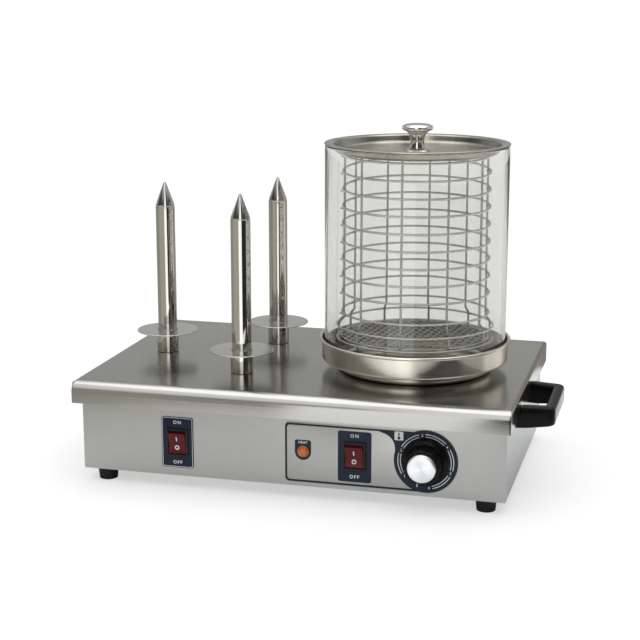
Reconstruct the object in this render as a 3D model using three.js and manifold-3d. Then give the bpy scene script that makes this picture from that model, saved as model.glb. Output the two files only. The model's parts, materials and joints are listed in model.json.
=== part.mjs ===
// Hot dog steamer with a glass steaming cylinder and three heated bun spikes.
// Millimetres, +Z up, front towards -Y, origin on the table under the centre of the machine.
import * as THREE from 'three';
import { mergeVertices } from 'three/addons/utils/BufferGeometryUtils.js';
import Module from 'manifold-3d';

const wasm = await Module();
wasm.setup();

// ---- driving dimensions ----------------------------------------------------------------------
const GAP = 0.3;            // clearance between neighbouring solids
const SHEET = 1.2;          // pressed sheet: cover, pan, lid
const PANEL = 1.5;          // folded housing sheet

const COVER_W = 480;
const COVER_D = 320;
const COVER_TOP = 116.5;
const LIP_BOTTOM = 92.5;
const NOSE_R = 13;          // rolled front edge of the cover
const EDGE_R = 4;           // folded side and back edges of the cover

const HOUSING_BOTTOM = 14;
const SIDE_X = 234;         // outer face of a side panel
const FRONT_Y = -143;       // outer face of the front panel
const REAR_Y = 152.3;       // outer face of the rear panel
const PANEL_TOP = COVER_TOP - SHEET - GAP;

const FOOT = { r: 11.5, tipR: 10, x: 212, y: 128 };
const HANDLE = { y: -29, bottom: 78, height: 24, half: 58, reach: 40, bar: 12, leg: 14 };

const SPIKES = [[-186, 0], [-72, -73], [-72, 73]];
const SPIKE = { r: 11, bore: 9.5, bottom: 100, cone: 289, tip: 316.5 };
const COLLAR = { r: 12.75, top: COVER_TOP + 24.4 };
const DISC = { r: 35.5, bore: 11.7, thick: 1.3 };

const STEAMER = [108.5, 0]; // axis of pan, glass, basket and lid
const GLASS = { r: 101.2, wall: 3, bottom: 128.9, top: 367 };
const LID_RIM = 368.8;
const TOP_Z = 390;          // top of the lid knob

const BASKET = { r: 81.3, footR: 86.3, wire: 1.25, count: 10, top: 354.5, foot: 154 };

const SWITCH = { w: 25.4, h: 31.1, bodyW: 21, bodyH: 26.6, z: 52 };
const SWITCH_X = [-124, 73.5];
const ROCKER_TILT = THREE.MathUtils.degToRad(10);
const ROCKER_PIVOT_Y = -140.6;
const LAMP = { x: 17.5, z: 53 };
const DIAL = { x: 150, z: 52.3, r: 34 };
const LABEL_FRONT = FRONT_Y - 0.8;

// ---- materials -------------------------------------------------------------------------------
const material = (color, roughness, metalness, extra = {}) =>
  new THREE.MeshStandardMaterial({ color, roughness, metalness, ...extra });
const STEEL = material('#a5a6a0', 0.38, 1);
const POLISHED = material('#c4c5c2', 0.16, 1);
const CHROME = material('#d6d7d8', 0.08, 1);
const GALVANISED = material('#8d9092', 0.5, 1);
const RUBBER = material('#141414', 0.75, 0);
const BLACK = material('#101011', 0.3, 0);
const NAVY = material('#1e2d41', 0.45, 0);
const RED = material('#6e1e1e', 0.35, 0);
const AMBER = material('#dc641e', 0.25, 0);
const CLEAR = material('#dfe6e0', 0.05, 0, { transparent: true, opacity: 0.25 });

// ---- solids ----------------------------------------------------------------------------------
/** Turns a closed three.js geometry into a manifold solid that faces outward. */
function solid(geometry) {
  const bare = geometry.clone();
  bare.deleteAttribute('normal');
  bare.deleteAttribute('uv');
  const merged = mergeVertices(bare, 1e-4);
  const p = merged.attributes.position.array;
  const faces = [];
  let volume = 0;
  for (let i = 0; i < merged.index.count; i += 3) {
    const [a, b, c] = merged.index.array.slice(i, i + 3);
    if (a === b || b === c || c === a) continue;
    faces.push([a, b, c]);
    volume += new THREE.Vector3().fromArray(p, a * 3)
      .dot(new THREE.Vector3().fromArray(p, b * 3).cross(new THREE.Vector3().fromArray(p, c * 3)));
  }
  const triVerts = new Uint32Array(faces.flatMap(([a, b, c]) => (volume > 0 ? [a, b, c] : [a, c, b])));
  return new wasm.Manifold(new wasm.Mesh({ numProp: 3, vertProperties: new Float32Array(p), triVerts }));
}

const join = (...parts) => parts.reduce((whole, part) => whole.add(part));
const cut = (body, ...tools) => tools.reduce((rest, tool) => rest.subtract(tool), body);

/** Box between two corners. */
function block([x0, y0, z0], [x1, y1, z1]) {
  const box = new THREE.BoxGeometry(x1 - x0, y1 - y0, z1 - z0);
  return solid(box.translate((x0 + x1) / 2, (y0 + y1) / 2, (z0 + z1) / 2));
}

/** Box given by its middle and its size, for slots and cut-outs. */
const slot = ([x, y, z], [w, d, h]) => block([x - w / 2, y - d / 2, z - h / 2], [x + w / 2, y + d / 2, z + h / 2]);

/** Solid of revolution about Z from a closed list of [radius, height]. */
function turned(profile, segments, x = 0, y = 0) {
  const points = [...profile, profile[0]].map(([r, z]) => new THREE.Vector2(r, z));
  return solid(new THREE.LatheGeometry(points, segments).rotateX(Math.PI / 2).translate(x, y, 0));
}

/** Solid of revolution about a line running to the front (-Y); profile heights are distances forward of y. */
function turnedForward(profile, segments, x, y, z) {
  const points = [...profile, profile[0]].map(([r, h]) => new THREE.Vector2(r, h));
  return solid(new THREE.LatheGeometry(points, segments).rotateX(Math.PI).translate(x, y, z));
}

/** Flat shape drawn in X and Y, raised from bottom by height. */
function raised(shape, bottom, height, curveSegments = 4) {
  const geometry = new THREE.ExtrudeGeometry(shape, { depth: height, bevelEnabled: false, curveSegments });
  return solid(geometry.translate(0, 0, bottom));
}

/** Flat shape drawn in X and Z, standing with its back at y and its front thick nearer the viewer. */
function standing(shape, y, thick, curveSegments = 4) {
  const geometry = new THREE.ExtrudeGeometry(shape, { depth: thick, bevelEnabled: false, curveSegments });
  return solid(geometry.rotateX(Math.PI / 2).translate(0, y, 0));
}

function roundedRect(w, h, r, cx = 0, cy = 0) {
  const [x0, x1, y0, y1] = [cx - w / 2, cx + w / 2, cy - h / 2, cy + h / 2];
  const shape = new THREE.Shape();
  shape.moveTo(x0 + r, y0).lineTo(x1 - r, y0).absarc(x1 - r, y0 + r, r, -Math.PI / 2, 0);
  shape.lineTo(x1, y1 - r).absarc(x1 - r, y1 - r, r, 0, Math.PI / 2);
  shape.lineTo(x0 + r, y1).absarc(x0 + r, y1 - r, r, Math.PI / 2, Math.PI);
  shape.lineTo(x0, y0 + r).absarc(x0 + r, y0 + r, r, Math.PI, Math.PI * 1.5);
  return shape;
}

function circle(r, cx = 0, cy = 0) {
  return new THREE.Shape().absarc(cx, cy, r, 0, Math.PI * 2);
}

/** Straight round bar from a to b. */
function bar(a, b, r, segments) {
  const [from, to] = [new THREE.Vector3(...a), new THREE.Vector3(...b)];
  const along = to.clone().sub(from);
  const geometry = new THREE.CylinderGeometry(r, r, along.length(), segments);
  const turn = new THREE.Quaternion().setFromUnitVectors(new THREE.Vector3(0, 1, 0), along.normalize());
  const middle = from.add(to).multiplyScalar(0.5);
  return solid(geometry.applyQuaternion(turn).translate(middle.x, middle.y, middle.z));
}

const group = new THREE.Group();
group.name = 'hot_dog_steamer';

/** Adds a manifold solid to the scene as a named mesh at a place and turn. */
function part(name, body, look, place = [0, 0, 0], turn = [0, 0, 0]) {
  const { vertProperties, triVerts } = body.getMesh();
  const geometry = new THREE.BufferGeometry();
  geometry.setAttribute('position', new THREE.BufferAttribute(new Float32Array(vertProperties), 3));
  geometry.setIndex(new THREE.BufferAttribute(new Uint32Array(triVerts), 1));
  geometry.computeVertexNormals();
  const mesh = new THREE.Mesh(geometry, look.clone());
  mesh.name = name;
  mesh.position.set(...place);
  mesh.rotation.set(...turn);
  group.add(mesh);
}

// ---- top cover -------------------------------------------------------------------------------
/** Outline points of a circular bend. */
const bend = (cx, cy, r, from, to, steps) => Array.from({ length: steps + 1 }, (_, i) => {
  const a = THREE.MathUtils.degToRad(from + ((to - from) * i) / steps);
  return new THREE.Vector2(cx + r * Math.cos(a), cy + r * Math.sin(a));
});

/** The cover's outer form moved in by inset: a rolled nose in front, folded edges at the sides and back. */
function coverForm(inset, bottom) {
  const top = COVER_TOP - inset;
  const [half, deep] = [COVER_W / 2 - inset, COVER_D / 2 - inset];
  const [nose, edge] = [NOSE_R - inset, EDGE_R - inset];
  const side = new THREE.Shape([
    new THREE.Vector2(-deep, bottom), new THREE.Vector2(deep, bottom),
    ...bend(deep - edge, top - edge, edge, 0, 90, 4), ...bend(nose - deep, top - nose, nose, 90, 180, 8),
  ]);
  const front = new THREE.Shape([
    new THREE.Vector2(-half, bottom), new THREE.Vector2(half, bottom),
    ...bend(half - edge, top - edge, edge, 0, 90, 4), ...bend(edge - half, top - edge, edge, 90, 180, 4),
  ]);
  const options = { bevelEnabled: false };
  const [x, y, z] = [new THREE.Vector3(1, 0, 0), new THREE.Vector3(0, 1, 0), new THREE.Vector3(0, 0, 1)];
  const long = new THREE.ExtrudeGeometry(side, { ...options, depth: COVER_W })
    .translate(0, 0, -COVER_W / 2).applyMatrix4(new THREE.Matrix4().makeBasis(y, z, x));
  const wide = new THREE.ExtrudeGeometry(front, { ...options, depth: COVER_D })
    .translate(0, 0, -COVER_D / 2).applyMatrix4(new THREE.Matrix4().makeBasis(x, z, y.negate()));
  return solid(long).intersect(solid(wide));
}

const HEATER_R = 70;
const returnFlange = block([-238.9, -158.9, LIP_BOTTOM], [238.9, FRONT_Y - GAP, LIP_BOTTOM + SHEET]);
const coverHoles = SPIKES.map(([x, y]) => raised(circle(SPIKE.r + GAP, x, y), 105, 20, 16));
const heaterHole = raised(circle(HEATER_R + 1, ...STEAMER), 105, 20, 24);
part('top_cover', cut(join(cut(coverForm(0, LIP_BOTTOM), coverForm(SHEET, LIP_BOTTOM - 1)), returnFlange),
  ...coverHoles, heaterHole), STEEL);

// ---- housing ---------------------------------------------------------------------------------
const panelHeight = PANEL_TOP - HOUSING_BOTTOM;
const panelMid = HOUSING_BOTTOM + panelHeight / 2;
const RETURN_X = SIDE_X - PANEL - GAP;
const LEG_Y = HANDLE.half - HANDLE.leg / 2;
const HANDLE_SCREW_Z = HANDLE.bottom + 7;

/** Inward return flange of the front or rear panel on one side. */
const sideReturn = (sign, y0, y1) => block(
  [Math.min(sign * RETURN_X, sign * (RETURN_X - SHEET)), y0, HOUSING_BOTTOM + 3],
  [Math.max(sign * RETURN_X, sign * (RETURN_X - SHEET)), y1, PANEL_TOP - 6],
);

const frontOutline = roundedRect(2 * SIDE_X, panelHeight, 1, 0, panelMid);
frontOutline.holes.push(circle(5.4, LAMP.x, LAMP.z), circle(5.2, DIAL.x, DIAL.z));
const switchCuts = SWITCH_X.map((x) => slot([x, FRONT_Y, SWITCH.z], [SWITCH.bodyW + 0.8, 8, SWITCH.bodyH + 0.8]));
part('front_panel', cut(join(standing(frontOutline, FRONT_Y + PANEL, PANEL),
  sideReturn(-1, FRONT_Y + 1, FRONT_Y + 12), sideReturn(1, FRONT_Y + 1, FRONT_Y + 12)), ...switchCuts), STEEL);

const GLAND = { x: -170, z: 44 };
const rearOutline = roundedRect(2 * SIDE_X, panelHeight, 1, 0, panelMid);
rearOutline.holes.push(circle(9.2, GLAND.x, GLAND.z));
const rearVents = [-60, 90].flatMap((x) => [0, 1, 2, 3, 4].map((row) => slot([x, REAR_Y, 36 + 11 * row], [70, 8, 4])));
part('rear_panel', cut(join(standing(rearOutline, REAR_Y, PANEL),
  sideReturn(-1, REAR_Y - 12, REAR_Y - 1), sideReturn(1, REAR_Y - 12, REAR_Y - 1)), ...rearVents), STEEL);

const sideFrom = FRONT_Y + PANEL + GAP;
const sideTo = REAR_Y - PANEL - GAP;
for (const [name, sign] of [['side_panel_left', -1], ['side_panel_right', 1]]) {
  const inner = sign * (SIDE_X - PANEL);
  const outer = sign * SIDE_X;
  const sheet = block([Math.min(inner, outer), sideFrom, HOUSING_BOTTOM], [Math.max(inner, outer), sideTo, PANEL_TOP]);
  const holes = [-LEG_Y, LEG_Y].map((y) => bar(
    [inner - sign * 5, HANDLE.y + y, HANDLE_SCREW_Z], [outer + sign * 5, HANDLE.y + y, HANDLE_SCREW_Z], 2.3, 12));
  part(name, cut(sheet, ...holes), STEEL);
}

const baseOutline = roundedRect(2 * (SIDE_X - PANEL - GAP), sideTo - sideFrom, 1, 0, (sideFrom + sideTo) / 2);
const feet = [-1, 1].flatMap((sx) => [-1, 1].map((sy) => [sx * FOOT.x, sy * FOOT.y]));
for (const [x, y] of feet) baseOutline.holes.push(circle(2.7, x, y));
const baseVents = [-125, -75, -25, 25, 75, 125].flatMap((x) => [-60, 0, 60].map((y) =>
  slot([x, y, HOUSING_BOTTOM], [4, 40, 8])));
part('bottom_plate', cut(raised(baseOutline, HOUSING_BOTTOM, PANEL), ...baseVents), GALVANISED);

feet.forEach(([x, y], i) => {
  part(`foot_${i + 1}`, turned([[2.6, 6], [5.2, 6], [5.2, 0], [9.3, 0], [FOOT.tipR, 0.8],
    [FOOT.r, HOUSING_BOTTOM - GAP], [2.6, HOUSING_BOTTOM - GAP]], 16), RUBBER, [x, y, 0]);
  part(`foot_screw_${i + 1}`, turned([[0, 3.2], [4, 2.6], [4.6, 3.4], [4.6, 5.7], [2.3, 5.7], [2.3, 22], [0, 22]], 12),
    GALVANISED, [x, y, 0]);
});

// ---- carrying handles ------------------------------------------------------------------------
/** Loop handle drawn to the right of its panel, mounting face on x = 0, bottom on z = 0. */
function handleBody() {
  const { half, reach, bar: thick, leg, height } = HANDLE;
  const outline = new THREE.Shape();
  outline.moveTo(0, -half).lineTo(reach - 14, -half).absarc(reach - 14, 14 - half, 14, -Math.PI / 2, 0);
  outline.lineTo(reach, half - 14).absarc(reach - 14, half - 14, 14, 0, Math.PI / 2);
  outline.lineTo(0, half).lineTo(0, half - leg).lineTo(reach - thick - 8, half - leg);
  outline.absarc(reach - thick - 8, half - leg - 8, 8, Math.PI / 2, 0, true);
  outline.lineTo(reach - thick, leg + 8 - half);
  outline.absarc(reach - thick - 8, leg + 8 - half, 8, 0, -Math.PI / 2, true);
  outline.lineTo(0, leg - half).closePath();
  const bevel = 2;
  const loop = solid(new THREE.ExtrudeGeometry(outline, {
    depth: height - 2 * bevel, bevelThickness: bevel, bevelSize: bevel, bevelOffset: -bevel, bevelSegments: 1,
    curveSegments: 5,
  }).translate(0, 0, bevel));
  const lipNotch = block([-1, -half - 1, LIP_BOTTOM - HANDLE.bottom - GAP], [7.5, half + 1, height + 1]);
  const screwHoles = [-LEG_Y, LEG_Y].map((y) => bar([-1, y, 7], [18, y, 7], 2.2, 12));
  return cut(loop, lipNotch, ...screwHoles);
}

const handleScrew = turned([[0, 0], [3.6, 0.6], [4, 2.4], [1.9, 2.4], [1.9, 20], [0, 20]], 12);
for (const [side, sign, turn] of [['left', -1, Math.PI], ['right', 1, 0]]) {
  part(`handle_${side}`, handleBody(), BLACK, [sign * (SIDE_X + GAP), HANDLE.y, HANDLE.bottom], [0, 0, turn]);
  [-LEG_Y, LEG_Y].forEach((y, i) => part(`handle_screw_${side}_${i + 1}`, handleScrew, GALVANISED,
    [sign * (SIDE_X - PANEL - GAP - 2.4), HANDLE.y + y, HANDLE_SCREW_Z], [0, sign * Math.PI / 2, 0]));
}

// ---- front controls --------------------------------------------------------------------------
const labelCuts = SWITCH_X.map((x) => slot([x, FRONT_Y, SWITCH.z], [SWITCH.bodyW + 1, 8, SWITCH.bodyH + 1]));
const spikeLabel = roundedRect(36, 57, 3, SWITCH_X[0], 51.8);
part('switch_label', cut(standing(spikeLabel, FRONT_Y - GAP, 0.5), labelCuts[0]), NAVY);

const overlay = roundedRect(187, 68, 5, 91, DIAL.z);
overlay.holes.push(circle(5.5, LAMP.x, LAMP.z), circle(5.3, DIAL.x, DIAL.z));
part('control_overlay', cut(standing(overlay, FRONT_Y - GAP, 0.5, 5), labelCuts[1]), STEEL);

/** Switch housing: bezel on the panel, body through it with a well for the rocker, blades behind. */
function switchBody() {
  const back = FRONT_Y + 21;
  const front = LABEL_FRONT - GAP;
  const bezel = standing(roundedRect(SWITCH.w, SWITCH.h, 2), front, 2);
  const body = block([-SWITCH.bodyW / 2, front - 1, -SWITCH.bodyH / 2], [SWITCH.bodyW / 2, back, SWITCH.bodyH / 2]);
  const well = block([-9.7, front - 3, -12.4], [9.7, ROCKER_PIVOT_Y + 5.6, 12.4]);
  const blades = [-7, 0, 7].map((z) => block([-3.1, back - 1, z - 0.4], [3.1, back + 8, z + 0.4]));
  return join(cut(join(bezel, body), well), ...blades);
}

/** Rocker with a dished face, drawn level about its pivot at the origin. */
function rocker() {
  const profile = [[-11, 2], [0, 4.4], [11, 2], [11, -6.2], [9.5, -7], [5, -5.6], [0, -5], [-5, -5.6], [-9.5, -7], [-11, -6.2]];
  const shape = new THREE.Shape(profile.map(([z, y]) => new THREE.Vector2(y, z)));
  const geometry = new THREE.ExtrudeGeometry(shape, { depth: 18.8, bevelEnabled: false }).translate(0, 0, -9.4);
  const [x, y, z] = [new THREE.Vector3(1, 0, 0), new THREE.Vector3(0, 1, 0), new THREE.Vector3(0, 0, 1)];
  return solid(geometry.applyMatrix4(new THREE.Matrix4().makeBasis(y, z, x)));
}

['spikes', 'steamer'].forEach((circuit, i) => {
  part(`switch_body_${circuit}`, switchBody(), BLACK, [SWITCH_X[i], 0, SWITCH.z]);
  part(`rocker_${circuit}`, rocker(), RED, [SWITCH_X[i], ROCKER_PIVOT_Y, SWITCH.z], [ROCKER_TILT, 0, 0]);
});

part('lamp_lens', turnedForward([[0, -4], [4.9, -4], [4.9, 1.1], [6.4, 1.1], [6.4, 2.4], [5.6, 3.6], [3.4, 4.6], [0, 5]],
  20, LAMP.x, FRONT_Y, LAMP.z), AMBER);
part('lamp_body', turnedForward([[0, -24], [4.4, -24], [5.6, -22], [5.6, -4.3], [0, -4.3]], 16, LAMP.x, FRONT_Y, LAMP.z),
  BLACK);

const SHAFT_TIP = 17.5;
part('thermostat_body', cut(join(
  block([DIAL.x - 18, FRONT_Y + PANEL + GAP, DIAL.z - 18], [DIAL.x + 18, FRONT_Y + 24, DIAL.z + 18]),
  turnedForward([[0, -5], [4.8, -5], [4.8, 1], [0, 1]], 18, DIAL.x, FRONT_Y, DIAL.z),
), turnedForward([[0, -16], [3.3, -16], [3.3, 3], [0, 3]], 16, DIAL.x, FRONT_Y, DIAL.z)), GALVANISED);
part('thermostat_shaft', turnedForward([[0, -15.7], [3, -15.7], [3, SHAFT_TIP - 1], [2.4, SHAFT_TIP], [0, SHAFT_TIP]],
  14, DIAL.x, FRONT_Y, DIAL.z), GALVANISED);

/** Grip outline with shallow flutes. */
const fluted = new THREE.Shape(Array.from({ length: 36 }, (_, i) => {
  const a = (i / 36) * Math.PI * 2;
  const r = 19 + 0.6 * Math.cos(12 * a);
  return new THREE.Vector2(DIAL.x + r * Math.cos(a), DIAL.z + r * Math.sin(a));
}));
part('thermostat_knob', cut(join(
  turnedForward([[0, 1.4], [25.4, 1.4], [25.4, 3], [23.6, 5.6], [20.4, 7], [0, 7]], 40, DIAL.x, FRONT_Y, DIAL.z),
  standing(fluted, FRONT_Y - 6, 17.5),
), turnedForward([[0, 21], [15.9, 21], [15.9, 26], [0, 26]], 36, DIAL.x, FRONT_Y, DIAL.z),
turnedForward([[0, 0], [3.3, 0], [3.3, SHAFT_TIP + GAP], [0, SHAFT_TIP + GAP]], 16, DIAL.x, FRONT_Y, DIAL.z)), BLACK);
part('knob_cap', turnedForward([[0, 21.3], [15.3, 21.3], [15.3, 25.6], [14.4, 26.8], [8, 27.7], [0, 28]],
  36, DIAL.x, FRONT_Y, DIAL.z), POLISHED);

// ---- heated spikes ---------------------------------------------------------------------------
const nutOutline = circle(SPIKE.r + 0.8);
const hexagon = new THREE.Shape(Array.from({ length: 6 }, (_, i) =>
  new THREE.Vector2(17 * Math.cos((i * Math.PI) / 3), 17 * Math.sin((i * Math.PI) / 3))));
hexagon.holes.push(nutOutline);

SPIKES.forEach(([x, y], i) => {
  const n = i + 1;
  const { r, bore, bottom, cone, tip } = SPIKE;
  part(`spike_${n}`, turned([[bore, bottom], [r, bottom], [r, cone], [r - 0.4, cone + 1.6], [1.5, tip - 1],
    [0, tip], [0, tip - 11], [bore, cone - 2]], 24), POLISHED, [x, y, 0]);
  part(`spike_collar_${n}`, turned([[r + GAP, COVER_TOP + GAP], [COLLAR.r, COVER_TOP + GAP], [COLLAR.r, COLLAR.top],
    [r + GAP, COLLAR.top]], 24), POLISHED, [x, y, 0]);
  part(`bun_disc_${n}`, turned([[DISC.bore, COLLAR.top + GAP], [DISC.r, COLLAR.top + GAP],
    [DISC.r, COLLAR.top + GAP + DISC.thick], [DISC.bore, COLLAR.top + GAP + DISC.thick]], 32), POLISHED, [x, y, 0]);
  part(`spike_nut_${n}`, raised(hexagon, COVER_TOP - SHEET - GAP - 7, 7, 6), GALVANISED, [x, y, 0]);
  part(`cartridge_heater_${n}`, turned([[0, 94], [6, 94], [6, 281], [5, 282], [0, 282]], 14), GALVANISED, [x, y, 0]);
});

// ---- steamer ---------------------------------------------------------------------------------
const PAN = COVER_TOP + GAP;
part('water_pan', turned([
  [0, PAN], [85, PAN], [88.6, PAN + 3.4], [88.6, PAN + 8.2], [90, PAN + 9.8], [102.2, PAN + 10.2],
  [104.2, PAN + 12.4], [104.4, PAN + 32.4], [106.6, PAN + 32.6], [107.2, PAN + 34.2], [106.2, PAN + 35.6],
  [104.2, PAN + 35.6], [103.2, PAN + 34.2], [103.2, PAN + 13.4], [102, PAN + 11.6], [90.6, PAN + 11.1],
  [87.4, PAN + 8.6], [87.4, PAN + 4.4], [84.6, PAN + 1.3], [0, PAN + 1.3]], 40),
POLISHED, [...STEAMER, 0]);

part('heater_plate', join(
  turned([[0, 107], [78, 107], [78, COVER_TOP - SHEET - GAP], [HEATER_R, COVER_TOP - SHEET - GAP],
    [HEATER_R, COVER_TOP], [0, COVER_TOP]], 40),
  block([-16, -3, 96], [-12, 3, 108]), block([12, -3, 96], [16, 3, 108]),
), GALVANISED, [...STEAMER, 0]);

const inside = GLASS.r - GLASS.wall;
part('glass_cylinder', turned([[inside, GLASS.bottom + 0.4], [inside + 0.4, GLASS.bottom], [GLASS.r - 0.4, GLASS.bottom],
  [GLASS.r, GLASS.bottom + 0.4], [GLASS.r, GLASS.top - 0.4], [GLASS.r - 0.4, GLASS.top], [inside + 0.4, GLASS.top],
  [inside, GLASS.top - 0.4]], 40), CLEAR, [...STEAMER, 0]);

/** Wire of square section through [radius, height] points in the upright plane at one angle. */
function upright(points, angle) {
  const side = (sign) => points.map(([r, z], i) => {
    const [before, after] = [points[Math.max(i - 1, 0)], points[Math.min(i + 1, points.length - 1)]];
    const along = new THREE.Vector2(after[0] - before[0], after[1] - before[1]).normalize();
    return new THREE.Vector2(r - sign * BASKET.wire * along.y, z + sign * BASKET.wire * along.x);
  });
  const width = 2 * BASKET.wire;
  const flat = new THREE.ExtrudeGeometry(new THREE.Shape([...side(1), ...side(-1).reverse()]),
    { depth: width, bevelEnabled: false });
  return solid(flat.translate(0, 0, -width / 2).rotateX(Math.PI / 2).rotateZ(angle));
}

const ring = (r, z) => solid(new THREE.TorusGeometry(r, BASKET.wire, 4, 28).translate(0, 0, z));
const ringHeights = Array.from({ length: 9 }, (_, k) => COVER_TOP + 88.8 + 18.65 * k);
const hoops = [
  ring(BASKET.footR, BASKET.foot), ring(BASKET.footR, BASKET.foot + 14.6), ring(BASKET.r, BASKET.foot + 29),
  ...ringHeights.map((z) => ring(BASKET.r, z)),
];
const uprights = Array.from({ length: BASKET.count }, (_, i) => {
  const angle = ((i + 0.5) / BASKET.count) * Math.PI * 2;
  const down = [[BASKET.r - 1.9, BASKET.top], [BASKET.r - 1.9, 176], [BASKET.footR - 1.9, 171], [BASKET.footR - 1.9, 153]];
  if (i % 3 === 0 && i < 9) down.push([80, 141], [80, PAN + 1.9]);
  return upright(down, angle);
});
const rungs = [
  bar([-86, 0, BASKET.foot], [86, 0, BASKET.foot], BASKET.wire, 5),
  bar([0, -86, BASKET.foot], [0, 86, BASKET.foot], BASKET.wire, 5),
];
part('basket', join(...hoops, ...uprights, ...rungs), POLISHED, [...STEAMER, 0]);

const floorAt = BASKET.foot + BASKET.wire + GAP;
const HOLE_PITCH = 25;
const drain = raised(circle(8.5), floorAt - 1, 3, 3);
const drains = [];
for (let row = -3; row <= 3; row += 1) {
  for (let column = -3; column <= 3; column += 1) {
    const [x, y] = [(column + (row % 2 ? 0.5 : 0)) * HOLE_PITCH, row * HOLE_PITCH * 0.866];
    if (Math.hypot(x, y) < 72) drains.push(drain.translate([x, y, 0]));
  }
}
part('basket_floor', cut(raised(circle(82.4), floorAt, 1, 20), ...drains), POLISHED, [...STEAMER, 0]);

const DISH = 358.2;
part('lid', turned([
  [2.4, DISH], [90, DISH], [92.4, DISH + 2.4], [93.4, DISH + 8], [95, GLASS.top + GAP],
  [101.5, GLASS.top + GAP], [102.2, LID_RIM - 0.8], [101.7, LID_RIM], [95, LID_RIM], [92.2, LID_RIM - 1],
  [90.6, DISH + 3.4], [89.3, DISH + 1.3], [15, DISH + 1.3], [12.6, DISH + 3.8], [2.4, DISH + 3.8]], 40),
POLISHED, [...STEAMER, 0]);
part('lid_knob', turned([
  [2.2, DISH + 4.1], [8.6, DISH + 4.1], [8, 366], [7.6, 372], [8.8, 377], [12, 381], [16.4, 383], [17.4, 384.4],
  [17.2, 386.6], [13.5, 388.9], [7, 389.8], [0, TOP_Z], [0, 374], [2.2, 374]], 24), CHROME, [...STEAMER, 0]);
part('lid_knob_screw', turned([[0, DISH - 3.2], [3.6, DISH - 2.8], [4.5, DISH - 1.4], [4.5, DISH - GAP],
  [1.9, DISH - GAP], [1.9, 373], [0, 373]], 14), GALVANISED, [...STEAMER, 0]);

// ---- wiring hardware -------------------------------------------------------------------------
const terminalBase = block([-30, -10, 0], [30, 10, 6]);
const terminals = [-22, -11, 0, 11, 22].map((x) => cut(block([x - 4.5, -9, 5], [x + 4.5, 9, 17]),
  raised(circle(2, x, 0), 10, 8, 5)));
part('terminal_block', join(terminalBase, ...terminals), RUBBER, [-150, 100, HOUSING_BOTTOM + PANEL + GAP]);

/** Nut and collar inside the panel, hexagon and tapered cap outside it, bored for the cable. */
const glandTube = turned([[4.2, -12], [10.5, -12], [10.5, -1.8], [8, -1.8], [8, 0.3], [12, 0.3], [12, 6], [10.4, 7],
  [10.4, 12], [8.4, 18], [6, 18.7], [4.2, 18.7]], 14);
part('cable_gland', glandTube, BLACK, [GLAND.x, REAR_Y, GLAND.z], [-Math.PI / 2, 0, 0]);
part('thermostat_bulb', bar([-30, 0, 0], [30, 0, 0], 3, 12), POLISHED, [STEAMER[0], 92, 106]);

export default group;
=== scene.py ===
"""Looks of the countertop hot dog steamer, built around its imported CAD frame.

Lengths in the dataclasses are millimetres unless a name says otherwise; meshes are in metres.
"""

from __future__ import annotations

import json
import logging
import math
from dataclasses import dataclass, field
from enum import Enum
from typing import Callable, Sequence, Union

import bmesh
import bpy
import numpy as np
from mathutils import Matrix, Vector

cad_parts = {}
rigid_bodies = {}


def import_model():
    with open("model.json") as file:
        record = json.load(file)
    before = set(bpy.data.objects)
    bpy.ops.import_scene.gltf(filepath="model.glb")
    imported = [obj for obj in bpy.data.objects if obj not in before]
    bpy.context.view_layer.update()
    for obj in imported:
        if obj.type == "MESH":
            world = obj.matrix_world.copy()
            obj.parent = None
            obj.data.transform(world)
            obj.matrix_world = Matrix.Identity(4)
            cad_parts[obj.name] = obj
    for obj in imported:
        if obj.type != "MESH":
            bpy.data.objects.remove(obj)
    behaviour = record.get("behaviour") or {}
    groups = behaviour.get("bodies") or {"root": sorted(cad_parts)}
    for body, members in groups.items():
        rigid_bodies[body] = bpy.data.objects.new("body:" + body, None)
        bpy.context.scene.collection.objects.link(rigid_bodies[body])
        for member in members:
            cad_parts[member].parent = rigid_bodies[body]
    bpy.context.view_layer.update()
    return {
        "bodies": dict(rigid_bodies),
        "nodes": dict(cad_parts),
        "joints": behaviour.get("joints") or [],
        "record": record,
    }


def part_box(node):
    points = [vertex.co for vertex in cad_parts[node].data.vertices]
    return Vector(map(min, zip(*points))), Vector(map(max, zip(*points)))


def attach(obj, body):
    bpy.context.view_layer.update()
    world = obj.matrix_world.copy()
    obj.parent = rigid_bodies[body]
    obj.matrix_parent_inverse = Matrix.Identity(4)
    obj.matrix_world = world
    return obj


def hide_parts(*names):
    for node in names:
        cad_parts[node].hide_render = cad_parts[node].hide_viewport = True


LOG = logging.getLogger("steamer")
MM = 0.001
PAN_AXIS = (108.5, 0.0)
SPIKE_AXES = ((-186.0, 0.0), (-72.0, -73.0), (-72.0, 73.0))
DIAL_AXIS = (150.0, 52.3)
GLASS_FOOT = 152.0
BOLDNESS = 0.012  # share of a letter's size that its outline is spread by
DOME = 0.4  # how far a wire's end stands out, in radii
MOST_CUT = 0.48  # share of a side that a rounded corner may take
PANEL_FACE = -143.8
PRINT = 0.12  # thickness of one layer of print
PRINT_SHARP = 30.0  # degrees past which a print's edge is drawn sharp
WELD = 2e-6  # metres between corners that become one
SLIVER = 1e-7  # metres under which an edge counts as nothing
Array = np.ndarray
Colour = tuple[float, float, float]
Axis = tuple[float, float]


# ---------------------------------------------------------------------------------------------
# Surfaces worked out as whole arrays
# ---------------------------------------------------------------------------------------------
def round_turn(steps: int) -> Array:
    """Angles of equal steps round a circle."""
    return np.linspace(0.0, 2 * np.pi, steps, endpoint=False)


def at_height(outline: Array, height: float) -> Array:
    """The points of a flat outline at one height, n x 3."""
    return np.column_stack([outline, np.full(len(outline), height)])


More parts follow.
